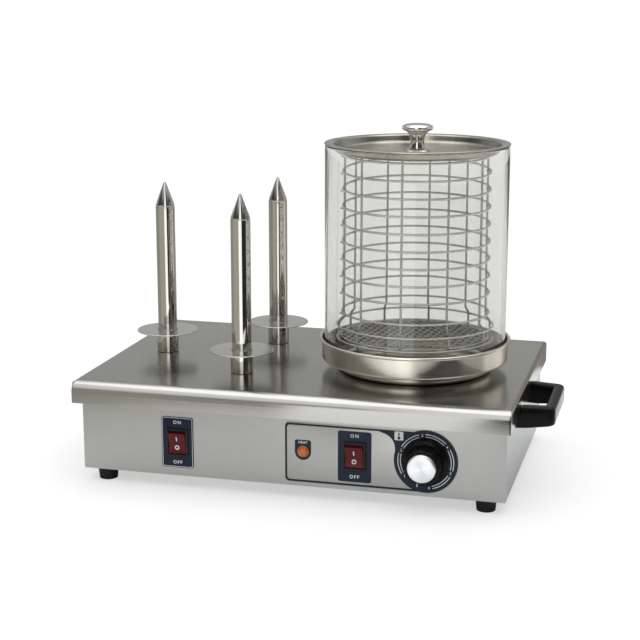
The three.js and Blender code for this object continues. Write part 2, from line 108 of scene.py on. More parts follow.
def grid_faces(rows: int, columns: int, wrap_rows: bool, wrap_columns: bool) -> Array:
    """Quads of a grid of points stored row by row.

    Face (i, j) joins point (i, j) to its neighbours in the next row and column; a wrapped direction
    joins its last line to its first.

    Args:
        rows: Number of rows of points.
        columns: Number of points in a row.
        wrap_rows: Whether the last row joins the first.
        wrap_columns: Whether the last column joins the first.

    Returns:
        Vertex numbers, one row of four for each quad.
    """
    i = np.arange(rows if wrap_rows else rows - 1)[:, None]
    j = np.arange(columns if wrap_columns else columns - 1)[None, :]
    down, right = (i + 1) % rows, (j + 1) % columns
    corners = (i * columns + j, i * columns + right, down * columns + right, down * columns + j)
    return np.stack([c.reshape(-1) for c in np.broadcast_arrays(*corners)], axis=1)


@dataclass
class Surface:
    """Points in millimetres and the faces between them."""

    points: Array
    faces: list[list[int]]

    @staticmethod
    def grid(points: Array, wrap_rows: bool = False, wrap_columns: bool = False) -> "Surface":
        """Surface from a rows x columns x 3 array of points."""
        rows, columns = points.shape[:2]
        faces = grid_faces(rows, columns, wrap_rows, wrap_columns)
        return Surface(points.reshape(-1, 3), faces.tolist())

    @staticmethod
    def closed(rings: Array) -> "Surface":
        """Surface through rings of points, with one many-sided face over either end."""
        body = Surface.grid(rings, wrap_columns=True)
        count, total = rings.shape[1], len(body.points)
        caps = [list(range(count))[::-1], list(range(total - count, total))]
        return Surface(body.points, body.faces + caps)

    def __add__(self, other: "Surface") -> "Surface":
        """Both surfaces in one mesh."""
        shift = len(self.points)
        moved = [[v + shift for v in face] for face in other.faces]
        return Surface(np.vstack([self.points, other.points]), self.faces + moved)

    def moved(self, x: float = 0.0, y: float = 0.0, z: float = 0.0) -> "Surface":
        """The same surface shifted by millimetres."""
        return Surface(self.points + np.array([x, y, z]), self.faces)

    def turned(self, matrix: Matrix) -> "Surface":
        """The same surface turned by a 3 x 3 matrix about the origin."""
        return Surface(self.points @ np.array(matrix.to_3x3()).T, self.faces)


def filleted(corners: Array, radius: Union[float, Array], steps: int = 6,
             closed: bool = True) -> Array:
    """Rounds the corners of an outline.

    Each corner P between neighbours A and B becomes the quadratic curve from P + c (A - P) to
    P + c (B - P) with P as its control point, where c keeps the cut under MOST_CUT of either side.

    Args:
        corners: Points of the outline, n x 2.
        radius: Length cut from each side of a corner, one for all or one for each corner.
        steps: Points on each rounded corner.
        closed: Whether the outline is a loop; the ends of an open one stay sharp.

    Returns:
        The rounded outline, m x 2.
    """
    before = np.roll(corners, 1, axis=0) - corners
    after = np.roll(corners, -1, axis=0) - corners
    length_a = np.linalg.norm(before, axis=1, keepdims=True)
    length_b = np.linalg.norm(after, axis=1, keepdims=True)
    cut = np.broadcast_to(np.asarray(radius, float).reshape(-1, 1), (len(corners), 1))
    cut = np.minimum(cut, MOST_CUT * np.minimum(length_a, length_b))
    if not closed:
        cut = cut.copy()
        cut[[0, -1]] = 0.0
    start, end = corners + before / length_a * cut, corners + after / length_b * cut
    t = np.linspace(0.0, 1.0, steps)[None, :, None]
    curve = (1 - t) ** 2 * start[:, None] + 2 * t * (1 - t) * corners[:, None] + t**2 * end[:, None]
    points = curve.reshape(-1, 2)
    keep = np.ones(len(points), bool)
    keep[1:] = np.linalg.norm(np.diff(points, axis=0), axis=1) > 1e-6
    return points[keep]


def revolved(profile: Array, segments: int, closed: bool = True) -> Surface:
    """Surface of revolution about Z.

    Point (i, j) is profile point i turned by 2 pi j / segments: (r cos, r sin, z).

    Args:
        profile: Radius and height of each profile point, n x 2.
        segments: Steps round the axis.
        closed: Whether the profile is a loop.

    Returns:
        The surface.
    """
    turn = round_turn(segments)[None, :]
    r, z = profile[:, :1], np.broadcast_to(profile[:, 1:], (len(profile), segments))
    points = np.stack([r * np.cos(turn), r * np.sin(turn), z], axis=-1)
    return Surface.grid(points, wrap_rows=closed, wrap_columns=True)


def swept(path: Array, radius: float, sides: int, closed: bool,
          up: Sequence[float] = (0, 0, 1)) -> Surface:
    """Round wire along a path.

    At each path point the section is radius (cos a * side + sin a * over), where side is the path's
    direction crossed with up and over is side crossed with that direction. Open ends close in a
    point that stands DOME radii past the path.

    Args:
        path: Points along the wire's middle, n x 3.
        radius: Radius of the wire.
        sides: Corners of its section.
        closed: Whether the path is a loop.
        up: A direction that the path never follows.

    Returns:
        The surface.
    """
    ahead = np.roll(path, -1, axis=0) - np.roll(path, 1, axis=0)
    scale = np.ones(len(path))
    if not closed:
        ahead[0], ahead[-1] = path[1] - path[0], path[-1] - path[-2]
        tangent = ahead / np.linalg.norm(ahead, axis=1, keepdims=True)
        dome = tangent[[0, -1]] * radius * DOME
        path = np.vstack([path[0] - dome[0], path, path[-1] + dome[1]])
        ahead = np.vstack([ahead[:1], ahead, ahead[-1:]])
        scale = np.concatenate([[1e-4], scale, [1e-4]])
    tangent = ahead / np.linalg.norm(ahead, axis=1, keepdims=True)
    side = np.cross(tangent, np.asarray(up, float))
    side /= np.linalg.norm(side, axis=1, keepdims=True)
    over = np.cross(side, tangent)
    a = round_turn(sides)[None, :, None]
    offset = radius * scale[:, None, None] * (np.cos(a) * side[:, None] + np.sin(a) * over[:, None])
    return Surface.grid(path[:, None] + offset, wrap_rows=closed, wrap_columns=True)


def slab(outline: Array, low: float, high: float, edge: float = 0.0) -> Surface:
    """Flat plate with softened edges.

    The wall's rings are the outline at both faces drawn in by edge, and the full outline edge
    further in; the outline is drawn in along its own corner normals.

    Args:
        outline: Corners in order, n x 2.
        low: Height of the lower face.
        high: Height of the upper face.
        edge: Width of the softened edge.

    Returns:
        The plate, with one many-sided face at each end.
    """
    ahead = np.roll(outline, -1, axis=0) - np.roll(outline, 1, axis=0)
    x, y = outline.T
    area = np.sum(x * np.roll(y, -1) - y * np.roll(x, -1))
    normal = np.stack([-ahead[:, 1], ahead[:, 0]], axis=1) * np.sign(area)
    normal /= np.maximum(np.linalg.norm(normal, axis=1, keepdims=True), 1e-9)
    levels = [(edge, low), (edge * 0.3, low + edge * 0.3), (0.0, low + edge), (0.0, high - edge),
              (edge * 0.3, high - edge * 0.3), (edge, high)]
    levels = levels if edge > 0 else [(0.0, low), (0.0, high)]
    return Surface.closed(np.stack([at_height(outline + normal * inset, z) for inset, z in levels]))


def box_outline(x0: float, x1: float, y0: float, y1: float) -> Array:
    """Corners of a rectangle, anticlockwise."""
    return np.array([[x0, y0], [x1, y0], [x1, y1], [x0, y1]], float)


def ring_outline(radius: float, count: int = 96, x: float = 0.0, y: float = 0.0) -> Array:
    """Points of a circle, anticlockwise."""
    a = round_turn(count)
    return np.column_stack([x + radius * np.cos(a), y + radius * np.sin(a)])


FORWARD = Matrix.Rotation(math.pi / 2, 4, "X")  # drawn in X and Y, standing up to face -Y


# ---------------------------------------------------------------------------------------------
# Shader building
# ---------------------------------------------------------------------------------------------
Value = Union[float, "Reading"]


def math_method(operation: str, swapped: bool = False) -> Callable[..., "Reading"]:
    """A method of Reading that adds one Math node.

    Args:
        operation: The node's operation.
        swapped: Whether the other value comes first.

    Returns:
        The method.
    """

    def method(self: "Reading", *others: Value) -> "Reading":
        values = (*others, self) if swapped else (self, *others)
        return self.graph.node("ShaderNodeMath", {"operation": operation}, dict(enumerate(values)))

    return method


class Reading:
    """A number read from a shader socket, with arithmetic that adds Math nodes.

    The angle method gives the angle of the point (other, self).
    """

    __add__, __radd__ = math_method("ADD"), math_method("ADD", swapped=True)
    __sub__, __rsub__ = math_method("SUBTRACT"), math_method("SUBTRACT", swapped=True)
    __mul__, __truediv__ = math_method("MULTIPLY"), math_method("DIVIDE")
    root, sine, angle = math_method("SQRT"), math_method("SINE"), math_method("ARCTAN2")

    def __init__(self, graph: "Graph", socket: bpy.types.NodeSocket) -> None:
        """Wraps one output socket of graph."""
        self.graph, self.socket = graph, socket

    def step(self, low: float, high: float) -> "Reading":
        """Smooth rise from 0 at low to 1 at high, or fall where high is the smaller."""
        inputs = {"Value": self, "From Min": low, "From Max": high}
        return self.graph.node("ShaderNodeMapRange", {"interpolation_type": "SMOOTHSTEP"}, inputs)


class Graph:
    """Adds nodes to one node tree."""

    def __init__(self, tree: bpy.types.NodeTree) -> None:
        """Starts an empty tree."""
        self.tree = tree
        tree.nodes.clear()

    def add(self, kind: str, settings: dict, inputs: dict) -> bpy.types.Node:
        """Adds a node.

        Args:
            kind: Blender's type name of the node.
            settings: Attributes set before the sockets.
            inputs: Socket name or number to a value, a Reading or an output socket.

        Returns:
            The node.
        """
        node = self.tree.nodes.new(kind)
        for name, value in settings.items():
            setattr(node, name, value)
        for name, value in inputs.items():
            socket = node.inputs[name]
            if isinstance(value, Reading):
                value = value.socket
            if isinstance(value, bpy.types.NodeSocket):
                self.tree.links.new(value, socket)
            else:
                socket.default_value = value
        return node

    def node(self, kind: str, settings: dict, inputs: dict, output: Union[str, int] = 0) -> Reading:
        """Adds a node and reads one of its outputs."""
        return Reading(self, self.add(kind, settings, inputs).outputs[output])

    def place(self, kind: str = "Object") -> bpy.types.NodeSocket:
        """Texture coordinates."""
        return self.add("ShaderNodeTexCoord", {}, {}).outputs[kind]

    def ray(self, kind: str) -> Reading:
        """1 where the ray is of one kind, 0 elsewhere."""
        return self.node("ShaderNodeLightPath", {}, {}, kind)

    def mapped(self, vector: bpy.types.NodeSocket, location: Sequence[float],
               scale: Sequence[float]) -> bpy.types.NodeSocket:
        """Moves and stretches coordinates."""
        inputs = {"Vector": vector, "Location": location, "Scale": scale}
        return self.add("ShaderNodeMapping", {"vector_type": "POINT"}, inputs).outputs[0]

    def axes(self, vector: bpy.types.NodeSocket) -> tuple[Reading, Reading, Reading]:
        """The three parts of a vector."""
        node = self.add("ShaderNodeSeparateXYZ", {}, {0: vector})
        return tuple(Reading(self, output) for output in node.outputs)

    def vector(self, x: Value, y: Value, z: Value) -> bpy.types.NodeSocket:
        """A vector from three numbers."""
        return self.add("ShaderNodeCombineXYZ", {}, {0: x, 1: y, 2: z}).outputs[0]

    def noise(self, vector: bpy.types.NodeSocket, scale: float, detail: float = 3.0,
              rough: float = 0.55) -> Reading:
        """Noise between about 0 and 1."""
        inputs = {"Vector": vector, "Scale": scale, "Detail": detail, "Roughness": rough}
        return self.node("ShaderNodeTexNoise", {}, inputs, "Fac")

    def blend(self, amount: Value, a: Union[Colour, bpy.types.NodeSocket],
              b: Union[Colour, bpy.types.NodeSocket]) -> bpy.types.NodeSocket:
        """Mixes two colours."""
        full = [c if isinstance(c, bpy.types.NodeSocket) else (*c, 1.0) for c in (a, b)]
        node = self.add("ShaderNodeMix", {"data_type": "RGBA"}, {0: amount, 6: full[0], 7: full[1]})
        return node.outputs[2]

    def bump(self, height: Reading, distance: float) -> bpy.types.NodeSocket:
        """Normal raised by height times distance in metres."""
        inputs = {"Height": height, "Distance": distance, "Strength": 1.0}
        return self.add("ShaderNodeBump", {}, inputs).outputs[0]

    def principled(self, **inputs: object) -> bpy.types.Node:
        """A Principled shader; underscores in names stand for spaces."""
        named = {name.replace("_", " "): value for name, value in inputs.items()}
        return self.add("ShaderNodeBsdfPrincipled", {}, named)

    def mixed(self, amount: Value, a: bpy.types.Node, b: bpy.types.Node) -> bpy.types.Node:
        """Mixes two shaders."""
        return self.add("ShaderNodeMixShader", {}, {0: amount, 1: a.outputs[0], 2: b.outputs[0]})

    def output(self, shader: bpy.types.Node) -> None:
        """Connects the shader to the material's surface."""
        self.add("ShaderNodeOutputMaterial", {}, {"Surface": shader.outputs[0]})

    def metal(self, colour: bpy.types.NodeSocket, rough: Reading, height: Reading,
              depth: float) -> None:
        """Makes the material a bare metal with marks of one depth in metres."""
        self.output(self.principled(Base_Color=colour, Metallic=1.0, Roughness=rough,
                                    Normal=self.bump(height, depth)))


def toned(colour: Colour, factor: float, lift: float = 0.0) -> Colour:
    """A colour times a factor, raised a little and kept under 1."""
    return tuple(min(1.0, part * factor + lift) for part in colour)


# ---------------------------------------------------------------------------------------------
# Finishes
# ---------------------------------------------------------------------------------------------
class Grain(Enum):
    """Direction of the polishing marks."""

    ALONG_X = (0.012, 1.0, 1.0)
    ALONG_Y = (1.0, 0.012, 1.0)
    NONE = (1.0, 1.0, 1.0)


@dataclass(frozen=True)
class BrushedSteel:
    """Stainless sheet with straight polishing marks, faint stains and fine scuffs."""

    name: str
    grain: Grain
    colour: Colour
    roughness: float
    depth: float
    line_scale: float = 1900.0
    fine_scale: float = 4200.0
    stain_scale: float = 9.0

    def material(self) -> bpy.types.Material:
        """Builds the material."""
        made, graph = start_material(self.name)
        place = graph.place()
        lines = graph.noise(graph.mapped(place, (0, 0, 0), self.grain.value), self.line_scale, 4.0, 0.6)
        fine = graph.noise(graph.mapped(place, (3, 1, 2), self.grain.value), self.fine_scale, 2.0)
        stain = graph.noise(place, self.stain_scale, 4.0)
        share = stain.step(0.3, 0.7) * 0.6 + lines * 0.4
        colour = graph.blend(share, toned(self.colour, 0.93), toned(self.colour, 1.04))
        rough = self.roughness + (lines - 0.5) * 0.14 + (stain - 0.5) * 0.08
        graph.metal(colour, rough, lines * 0.6 + fine * 0.4, self.depth)
        return made


@dataclass(frozen=True)
class TurnedSteel:
    """Spun stainless: rings of fine marks about a vertical axis, and painted sheen streaks round it."""

    name: str
    axis: Axis
    colour: Colour
    roughness: float
    depth: float
    # how much darker the painted shade streaks go, next to the painted highlight ones
    fan: float
    fan_scale: float = 2.6
    ring_scale: float = 1500.0
    haze_scale: float = 14.0

    def material(self) -> bpy.types.Material:
        """Builds the material."""
        made, graph = start_material(self.name)
        place = graph.place()
        x, y, z = graph.axes(place)
        dx, dy = x - self.axis[0] * MM, y - self.axis[1] * MM
        radius = (dx * dx + dy * dy).root()
        turn = dy.angle(dx)
        rings = graph.noise(graph.vector(radius, z, turn * 0.0006), self.ring_scale, 4.0, 0.6)
        haze = graph.noise(place, self.haze_scale, 4.0)
        around = graph.vector(dx / radius, dy / radius, z * 2.0)
        # Painted sheen: streaks lighter and darker by direction round the axis, painted highlight and
        # painted shade for the light on the turning marks.
        fan = graph.noise(around, self.fan_scale, 3.0, 0.6).step(0.36, 0.64)
        share = haze.step(0.3, 0.7) * 0.6 + rings * 0.4
        colour = graph.blend(share, toned(self.colour, 0.9), self.colour)
        colour = graph.blend(fan, toned(self.colour, 1.0 - self.fan), colour)
        rough = self.roughness + (rings - 0.5) * 0.10 + (haze - 0.5) * 0.08
        graph.metal(colour, rough, rings, self.depth)
        return made


@dataclass(frozen=True)
class SpunCap:
    """Bright turned face whose marks run round an axis that points forward, with painted sheen in
    sectors.
    """

    name: str
    centre: Axis
    # The cap's steel in painted shade and in painted highlight; the fine rings also shift between the
    # two.
    dark: Colour = (0.62, 0.63, 0.64)
    light: Colour = (0.86, 0.87, 0.88)
    ring_scale: float = 2600.0
    depth: float = 0.00004

    def material(self) -> bpy.types.Material:
        """Builds the material."""
        made, graph = start_material(self.name)
        x, y, z = graph.axes(graph.place())
        dx, dz = x - self.centre[0] * MM, z - self.centre[1] * MM
        radius = (dx * dx + dz * dz).root()
        turn = dz.angle(dx)
        rings = graph.noise(graph.vector(radius, y, turn * 0.0004), self.ring_scale, 3.0)
        # Painted highlight: two light and two dark sectors round the cap stand for the sheen of the
        # spun marks.
        fan = (turn * 2.0 + 0.9).sine() * 0.5 + 0.5
        colour = graph.blend(fan * 0.75 + rings * 0.25, self.dark, self.light)
        graph.metal(colour, 0.24 + rings * 0.12, rings, self.depth)
        return made


@dataclass(frozen=True)
class Moulded:
    """Moulded plastic or rubber with a faint grain and handling marks."""

    name: str
    colour: Colour
    roughness: float
    grain: float = 0.00002
    glow: float = 0.0
    specular: float = 0.5
    pore_scale: float = 1800.0
    wear_scale: float = 45.0

    def material(self) -> bpy.types.Material:
        """Builds the material."""
        made, graph = start_material(self.name)
        place = graph.place()
        pores = graph.noise(place, self.pore_scale, 2.0)
        wear = graph.noise(place, self.wear_scale, 5.0)
        pale = toned(self.colour, 1.25, 0.012)
        colour = graph.blend(wear.step(0.45, 0.85) * 0.5, self.colour, pale)
        rough = self.roughness + (wear - 0.5) * 0.18 + (pores - 0.5) * 0.08
        graph.output(graph.principled(
            Base_Color=colour, Roughness=rough, Normal=graph.bump(pores, self.grain),
            Specular_IOR_Level=self.specular, Emission_Color=(*self.colour, 1.0),
            Emission_Strength=self.glow))
        return made


@dataclass(frozen=True)
class ClearGlass:
    """Clear glass tube, faintly green, with soft water marks near its foot."""

    name: str
    foot: float
    tint: Colour = (0.775, 0.785, 0.765)
    index: float = 1.46
    mark_scale: float = 60.0
    mark_reach: float = 0.05

    def material(self) -> bpy.types.Material:
        """Builds the material; lamp rays pass through it."""
        made, graph = start_material(self.name)
        place = graph.place()
        height = graph.axes(place)[2]
        marks = graph.noise(graph.mapped(place, (0, 0, 0), (1, 1, 0.25)), self.mark_scale, 5.0)
        near_foot = height.step(self.foot * MM + self.mark_reach, self.foot * MM)
        rough = marks.step(0.5, 0.8) * near_foot * 0.12 + 0.004
        tint = (*self.tint, 1.0)
        glass = graph.principled(Base_Color=tint, Roughness=rough, IOR=self.index,
                                 Transmission_Weight=1.0)
        clear = graph.add("ShaderNodeBsdfTransparent", {}, {"Color": tint})
        graph.output(graph.mixed(graph.ray("Is Shadow Ray"), glass, clear))
        return made


def start_material(name: str) -> tuple[bpy.types.Material, Graph]:
    """A new material with an empty graph."""
    made = bpy.data.materials.new(name)
    made.use_nodes = True
    return made, Graph(made.node_tree)


class Palette:
    """The machine's finishes, each built once."""

    def __init__(self) -> None:
        """Builds every finish; the depths of their marks are in metres."""
        self.top = BrushedSteel(
            "brushed_top", Grain.ALONG_X, (0.41, 0.407, 0.388), 0.19, 0.000003).material()
        self.housing = BrushedSteel(
            "brushed_housing", Grain.ALONG_X, (0.375, 0.378, 0.364), 0.30, 0.000008).material()
        self.side = BrushedSteel(
            "brushed_side", Grain.ALONG_Y, (0.37, 0.385, 0.39), 0.30, 0.000008).material()
        self.zinc = BrushedSteel(
            "zinc_plate", Grain.NONE, (0.42, 0.43, 0.44), 0.42, 0.00003).material()
        self.disc = BrushedSteel(
            "disc_steel", Grain.ALONG_X, (0.62, 0.62, 0.60), 0.25, 0.00003).material()
        # The last number of each turned steel is the depth of its painted sheen streaks.
        self.pan = TurnedSteel(
            "spun_steel", PAN_AXIS, (0.74, 0.72, 0.64), 0.24, 0.000006, 0.2).material()
        self.lid = TurnedSteel(
            "lid_steel", PAN_AXIS, (0.52, 0.50, 0.435), 0.22, 0.000008, 0.35).material()
        # The basket's wire steel darkened, as painted shade on the uprights and cross rods.
        self.rod = BrushedSteel(
            "wire_painted_shade", Grain.NONE, (0.42, 0.41, 0.38), 0.22, 0.000004).material()
        self.wire = BrushedSteel(
            "drawn_wire", Grain.NONE, (0.84, 0.82, 0.76), 0.24, 0.000004).material()
        self.polish = [
            TurnedSteel(
                f"polished_tube_{n}", axis, (0.66, 0.65, 0.61), 0.06, 0.000006, 0.1).material()
            for n, axis in enumerate(SPIKE_AXES, 1)]
        self.chrome = BrushedSteel(
            "chrome_plate", Grain.NONE, (0.66, 0.67, 0.68), 0.06, 0.000004).material()
        self.cap = SpunCap("spun_cap", DIAL_AXIS).material()
        self.black = Moulded(
            "gloss_black", (0.005, 0.005, 0.0055), 0.18, 0.00001, specular=0.11).material()
        self.matte = Moulded("matt_black", (0.010, 0.010, 0.011), 0.42, specular=0.25).material()
        self.rubber = Moulded(
            "rubber_black", (0.008, 0.008, 0.008), 0.6, 0.00005, specular=0.25).material()
        self.navy = Moulded(
            "print_navy", (0.008, 0.016, 0.034), 0.4, 0.00001, specular=0.2).material()
        self.white = Moulded(
            "print_white", (0.80, 0.82, 0.82), 0.45, 0.00001, specular=0.3).material()
        self.red = Moulded(
            "rocker_red", (0.085, 0.003, 0.005), 0.2, 0.00001, 0.12, specular=0.22).material()
        self.amber = Moulded(
            "lamp_amber", (0.50, 0.115, 0.012), 0.18, 0.00001, 0.08, specular=0.6).material()
        self.cream = Moulded("terminal_cream", (0.6, 0.56, 0.46), 0.5).material()
        self.glass = ClearGlass("clear_glass", GLASS_FOOT).material()


# ---------------------------------------------------------------------------------------------
# From surfaces to pieces
# ---------------------------------------------------------------------------------------------
def new_mesh(name: str, points: Array, faces: list[list[int]]) -> bpy.types.Mesh:
    """A mesh of points in metres."""
    mesh = bpy.data.meshes.new(name)
    mesh.from_pydata(points.tolist(), [], faces)
    return mesh


def linked(name: str, data: bpy.types.ID) -> bpy.types.Object:
    """A new object in the scene."""
    made = bpy.data.objects.new(name, data)
    bpy.context.collection.objects.link(made)
    return made


def weld(mesh: bpy.types.Mesh, gap: float, repair: bool = False) -> None:
    """Joins corners closer than gap; repair also drops slivers and turns the faces outward."""
    work = bmesh.new()
    work.from_mesh(mesh)
    bmesh.ops.remove_doubles(work, verts=work.verts, dist=gap)
    if repair:
        bmesh.ops.dissolve_degenerate(work, edges=work.edges, dist=SLIVER)
        bmesh.ops.recalc_face_normals(work, faces=work.faces)
    work.to_mesh(mesh)
    work.free()


def flat_curve(name: str, outlines: Sequence[Array]) -> bpy.types.Curve:
    """Filled curve of closed flat outlines; outlines inside others are holes."""
    curve = bpy.data.curves.new(name, "CURVE")
    curve.dimensions, curve.fill_mode = "2D", "BOTH"
    for outline in outlines:
        spline = curve.splines.new("POLY")
        spline.points.add(len(outline) - 1)
        flat = np.column_stack([at_height(outline, 0.0), np.ones(len(outline))])
        spline.points.foreach_set("co", flat.reshape(-1))
        spline.use_cyclic_u = True
    return curve


def curve_mesh(curve: bpy.types.Curve) -> bpy.types.Mesh:
    """The mesh that a curve fills; the curve itself goes."""
    draft = linked(curve.name + "_draft", curve)
    bpy.context.view_layer.update()
    depsgraph = bpy.context.evaluated_depsgraph_get()
    mesh = bpy.data.meshes.new_from_object(draft.evaluated_get(depsgraph))
    bpy.data.objects.remove(draft)
    bpy.data.curves.remove(curve)
    return mesh


@dataclass
class Workshop:
    """Turns surfaces into pieces of the model and reports them."""

    frame: dict
    palette: Palette
    made: list[bpy.types.Object] = field(default_factory=list)

    def box(self, node: str) -> tuple[Array, Array]:
        """Lowest and highest corner of a CAD node in millimetres."""
        low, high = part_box(node)
        return np.array(low) / MM, np.array(high) / MM

    def dress(self, node: str, look: bpy.types.Material) -> None:
        """Gives a CAD node that stays in view its finish."""
        mesh = self.frame["nodes"][node].data
        mesh.materials.clear()
        mesh.materials.append(look)

    def piece(self, name: str, surface: Surface, look: bpy.types.Material, body: str, slot: str,
              replaces: Sequence[str] = (), sharp: float = 35.0) -> None:
        """Makes a mesh piece that rides on a body.

        Args:
            name: Name of the piece.
            surface: Its shape in millimetres.
            look: Its material.
            body: The CAD body it rides on.
            slot: The record's material slot; not used.
            replaces: CAD nodes it stands for.
            sharp: Angle in degrees past which an edge is drawn sharp.
        """
        mesh = new_mesh(name, surface.points * MM, surface.faces)
        weld(mesh, WELD, repair=True)
        self._finish(name, mesh, look, body, replaces, sharp)

    def _finish(self, name: str, mesh: bpy.types.Mesh, look: bpy.types.Material, body: str,
                replaces: Sequence[str], sharp: float) -> None:
        """Shades a mesh, links its object on its body, hides the CAD nodes it replaces and logs it."""
        mesh.materials.clear()
        mesh.materials.append(look)
        mesh.polygons.foreach_set("use_smooth", np.ones(len(mesh.polygons), bool))
        mesh.set_sharp_from_angle(angle=math.radians(sharp))
        made = linked(name, mesh)
        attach(made, body)
        if replaces:
            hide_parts(*replaces)
        self.made.append(made)
        LOG.info("%s: %d faces on %s", name, len(mesh.polygons), body)

    def print_flat(self, name: str, outlines: Sequence[Array], front: float,
                   look: bpy.types.Material, thick: float = PRINT) -> None:
        """Printed shape on an upright face; outlines inside others are holes.

        Args:
            name: Name of the piece.
            outlines: Closed outlines in x and z, millimetres.
            front: The y of the face it lies on.
            look: Its material.
            thick: Thickness of the print.
        """
        curve = flat_curve(name + "_line", [outline * MM for outline in outlines])
        curve.extrude = thick / 2 * MM
        self._flat(name, curve, (0.0, front - thick / 2, 0.0), look)

    def write(self, name: str, text: str, x: float, z: float, size: float, front: float,
              spacing: float = 1.0) -> None:
        """White lettering centred at x and z on an upright face."""
        curve = bpy.data.curves.new(name + "_line", "FONT")
        curve.body, curve.size, curve.extrude = text, size * MM, PRINT / 2 * MM
        curve.align_x, curve.align_y, curve.space_character = "CENTER", "CENTER", spacing
        curve.offset = size * MM * BOLDNESS
        self._flat(name, curve, (x, front - PRINT / 2, z), self.palette.white)

    def _flat(self, name: str, curve: bpy.types.Curve, place: Sequence[float],
              look: bpy.types.Material) -> None:
        """Turns a flat curve into a mesh piece that stands up at a place."""
        mesh = curve_mesh(curve)
        mesh.transform(Matrix.Translation(Vector(place) * MM) @ FORWARD)
        weld(mesh, SLIVER)
        mesh.name = name
        self._finish(name, mesh, look, "cabinet", (), PRINT_SHARP)


# ---------------------------------------------------------------------------------------------
# Cabinet
# ---------------------------------------------------------------------------------------------
def pierced(outline: Array, holes: Sequence[Array], z: float) -> Surface:
    """Flat face with holes, filled between its outline and theirs."""
    mesh = curve_mesh(flat_curve("pierced_line", (outline, *holes)))
    points = np.empty(len(mesh.vertices) * 3)
    mesh.vertices.foreach_get("co", points)
    points = points.reshape(-1, 3)
    points[:, 2] = z
    faces = [list(polygon.vertices) for polygon in mesh.polygons]
    bpy.data.meshes.remove(mesh)
    return Surface(points, faces)


@dataclass
class TopCover:
    """Pressed steel cover with a rolled nose in front and folded edges on the other sides."""

    shop: Workshop
    half_width: float = 240.0
    half_depth: float = 160.0
    top: float = 116.5
    lip: float = 92.5
    nose: float = 13.0
    fold: float = 4.0
    sheet: float = 1.2
    corner: float = 2.2
    flange_inset: float = 1.6
    flange_back: float = -143.4
    spike_hole: float = 11.3
    pan_hole: float = 79.0

    def _ring(self, inset: float, height: float, settle: float = 0.0) -> Array:
        """Closed line round the cover at one height.

        With d the depth below the top, each side of radius R is drawn in by
        R - sqrt(R^2 - (R - d)^2) while d is less than R, and by nothing below that; the front uses
        the nose's radius and the others the fold's.

        Args:
            inset: How far inside the outer form the line lies.
            height: Its height.
            settle: Further shift towards the middle on the flat.

        Returns:
            Points, n x 3.
        """
        top = self.top - inset
        draws = []
        for radius in (self.nose - inset, self.fold - inset):
            rise = max(0.0, radius - (top - height))
            draws.append(inset + settle + radius - math.sqrt(max(0.0, radius**2 - rise**2)))
        front, side = draws
        corners = box_outline(side - self.half_width, self.half_width - side,
                              front - self.half_depth, self.half_depth - side)
        return at_height(filleted(corners, self.corner, 5), height)

    def build(self) -> None:
        """Builds the cover with both faces of the sheet, its lips and its holes."""
        drop = np.linspace(0.0, math.pi / 2, 27)
        rings = []
        for inset in (0.0, self.sheet):
            top, radius = self.top - inset, self.nose - inset
            side = [self._ring(inset, top, 0.7)]
            side += [self._ring(inset, top - radius * (1 - math.cos(t))) for t in drop]
            side.append(self._ring(inset, self.lip))
            rings.append(side)
        shell = Surface.grid(np.stack(rings[0] + rings[1][::-1]), wrap_columns=True)
        loops = [ring_outline(self.spike_hole, 64, *axis) for axis in SPIKE_AXES]
        loops.append(ring_outline(self.pan_hole, 64, *PAN_AXIS))
        shell += pierced(rings[0][0][:, :2], loops, self.top)
        shell += pierced(rings[1][0][:, :2], loops, self.top - self.sheet)
        for loop in loops:
            wall = [at_height(loop, z) for z in (self.top - self.sheet, self.top)]
            shell += Surface.grid(np.stack(wall), wrap_columns=True)
        side = self.half_width - self.flange_inset
        flange = box_outline(-side, side, self.sheet - self.half_depth, self.flange_back)
        shell += slab(flange, self.lip + 0.02, self.lip + self.sheet, 0.2)
        self.shop.piece("top_cover_sheet", shell, self.shop.palette.top, "cabinet", "cover_steel",
                        ("top_cover",))


@dataclass
class Feet:
    """Four turned rubber feet."""

    shop: Workshop
    names: tuple[str, ...] = ("foot_1", "foot_2", "foot_3", "foot_4")

    def build(self) -> None:
        """Builds each foot in the place of its solid."""
        for name in self.names:
            low, high = self.shop.box(name)
            x, y = (low[:2] + high[:2]) / 2
            top, wide = high[2], (high[0] - low[0]) / 2
            profile = filleted(np.array([
                [3.2, top], [wide, top], [wide, top - 3.4], [wide - 0.5, top - 4.2],
                [wide - 1.5, 0.0], [wide - 3.2, 0.0], [5.2, 0.4], [5.2, 4.0], [3.2, 4.0]]), 0.8, 5)
            self.shop.piece(f"rubber_{name}", revolved(profile, 64).moved(x, y),
                            self.shop.palette.rubber, "cabinet", "rubber", (name,))


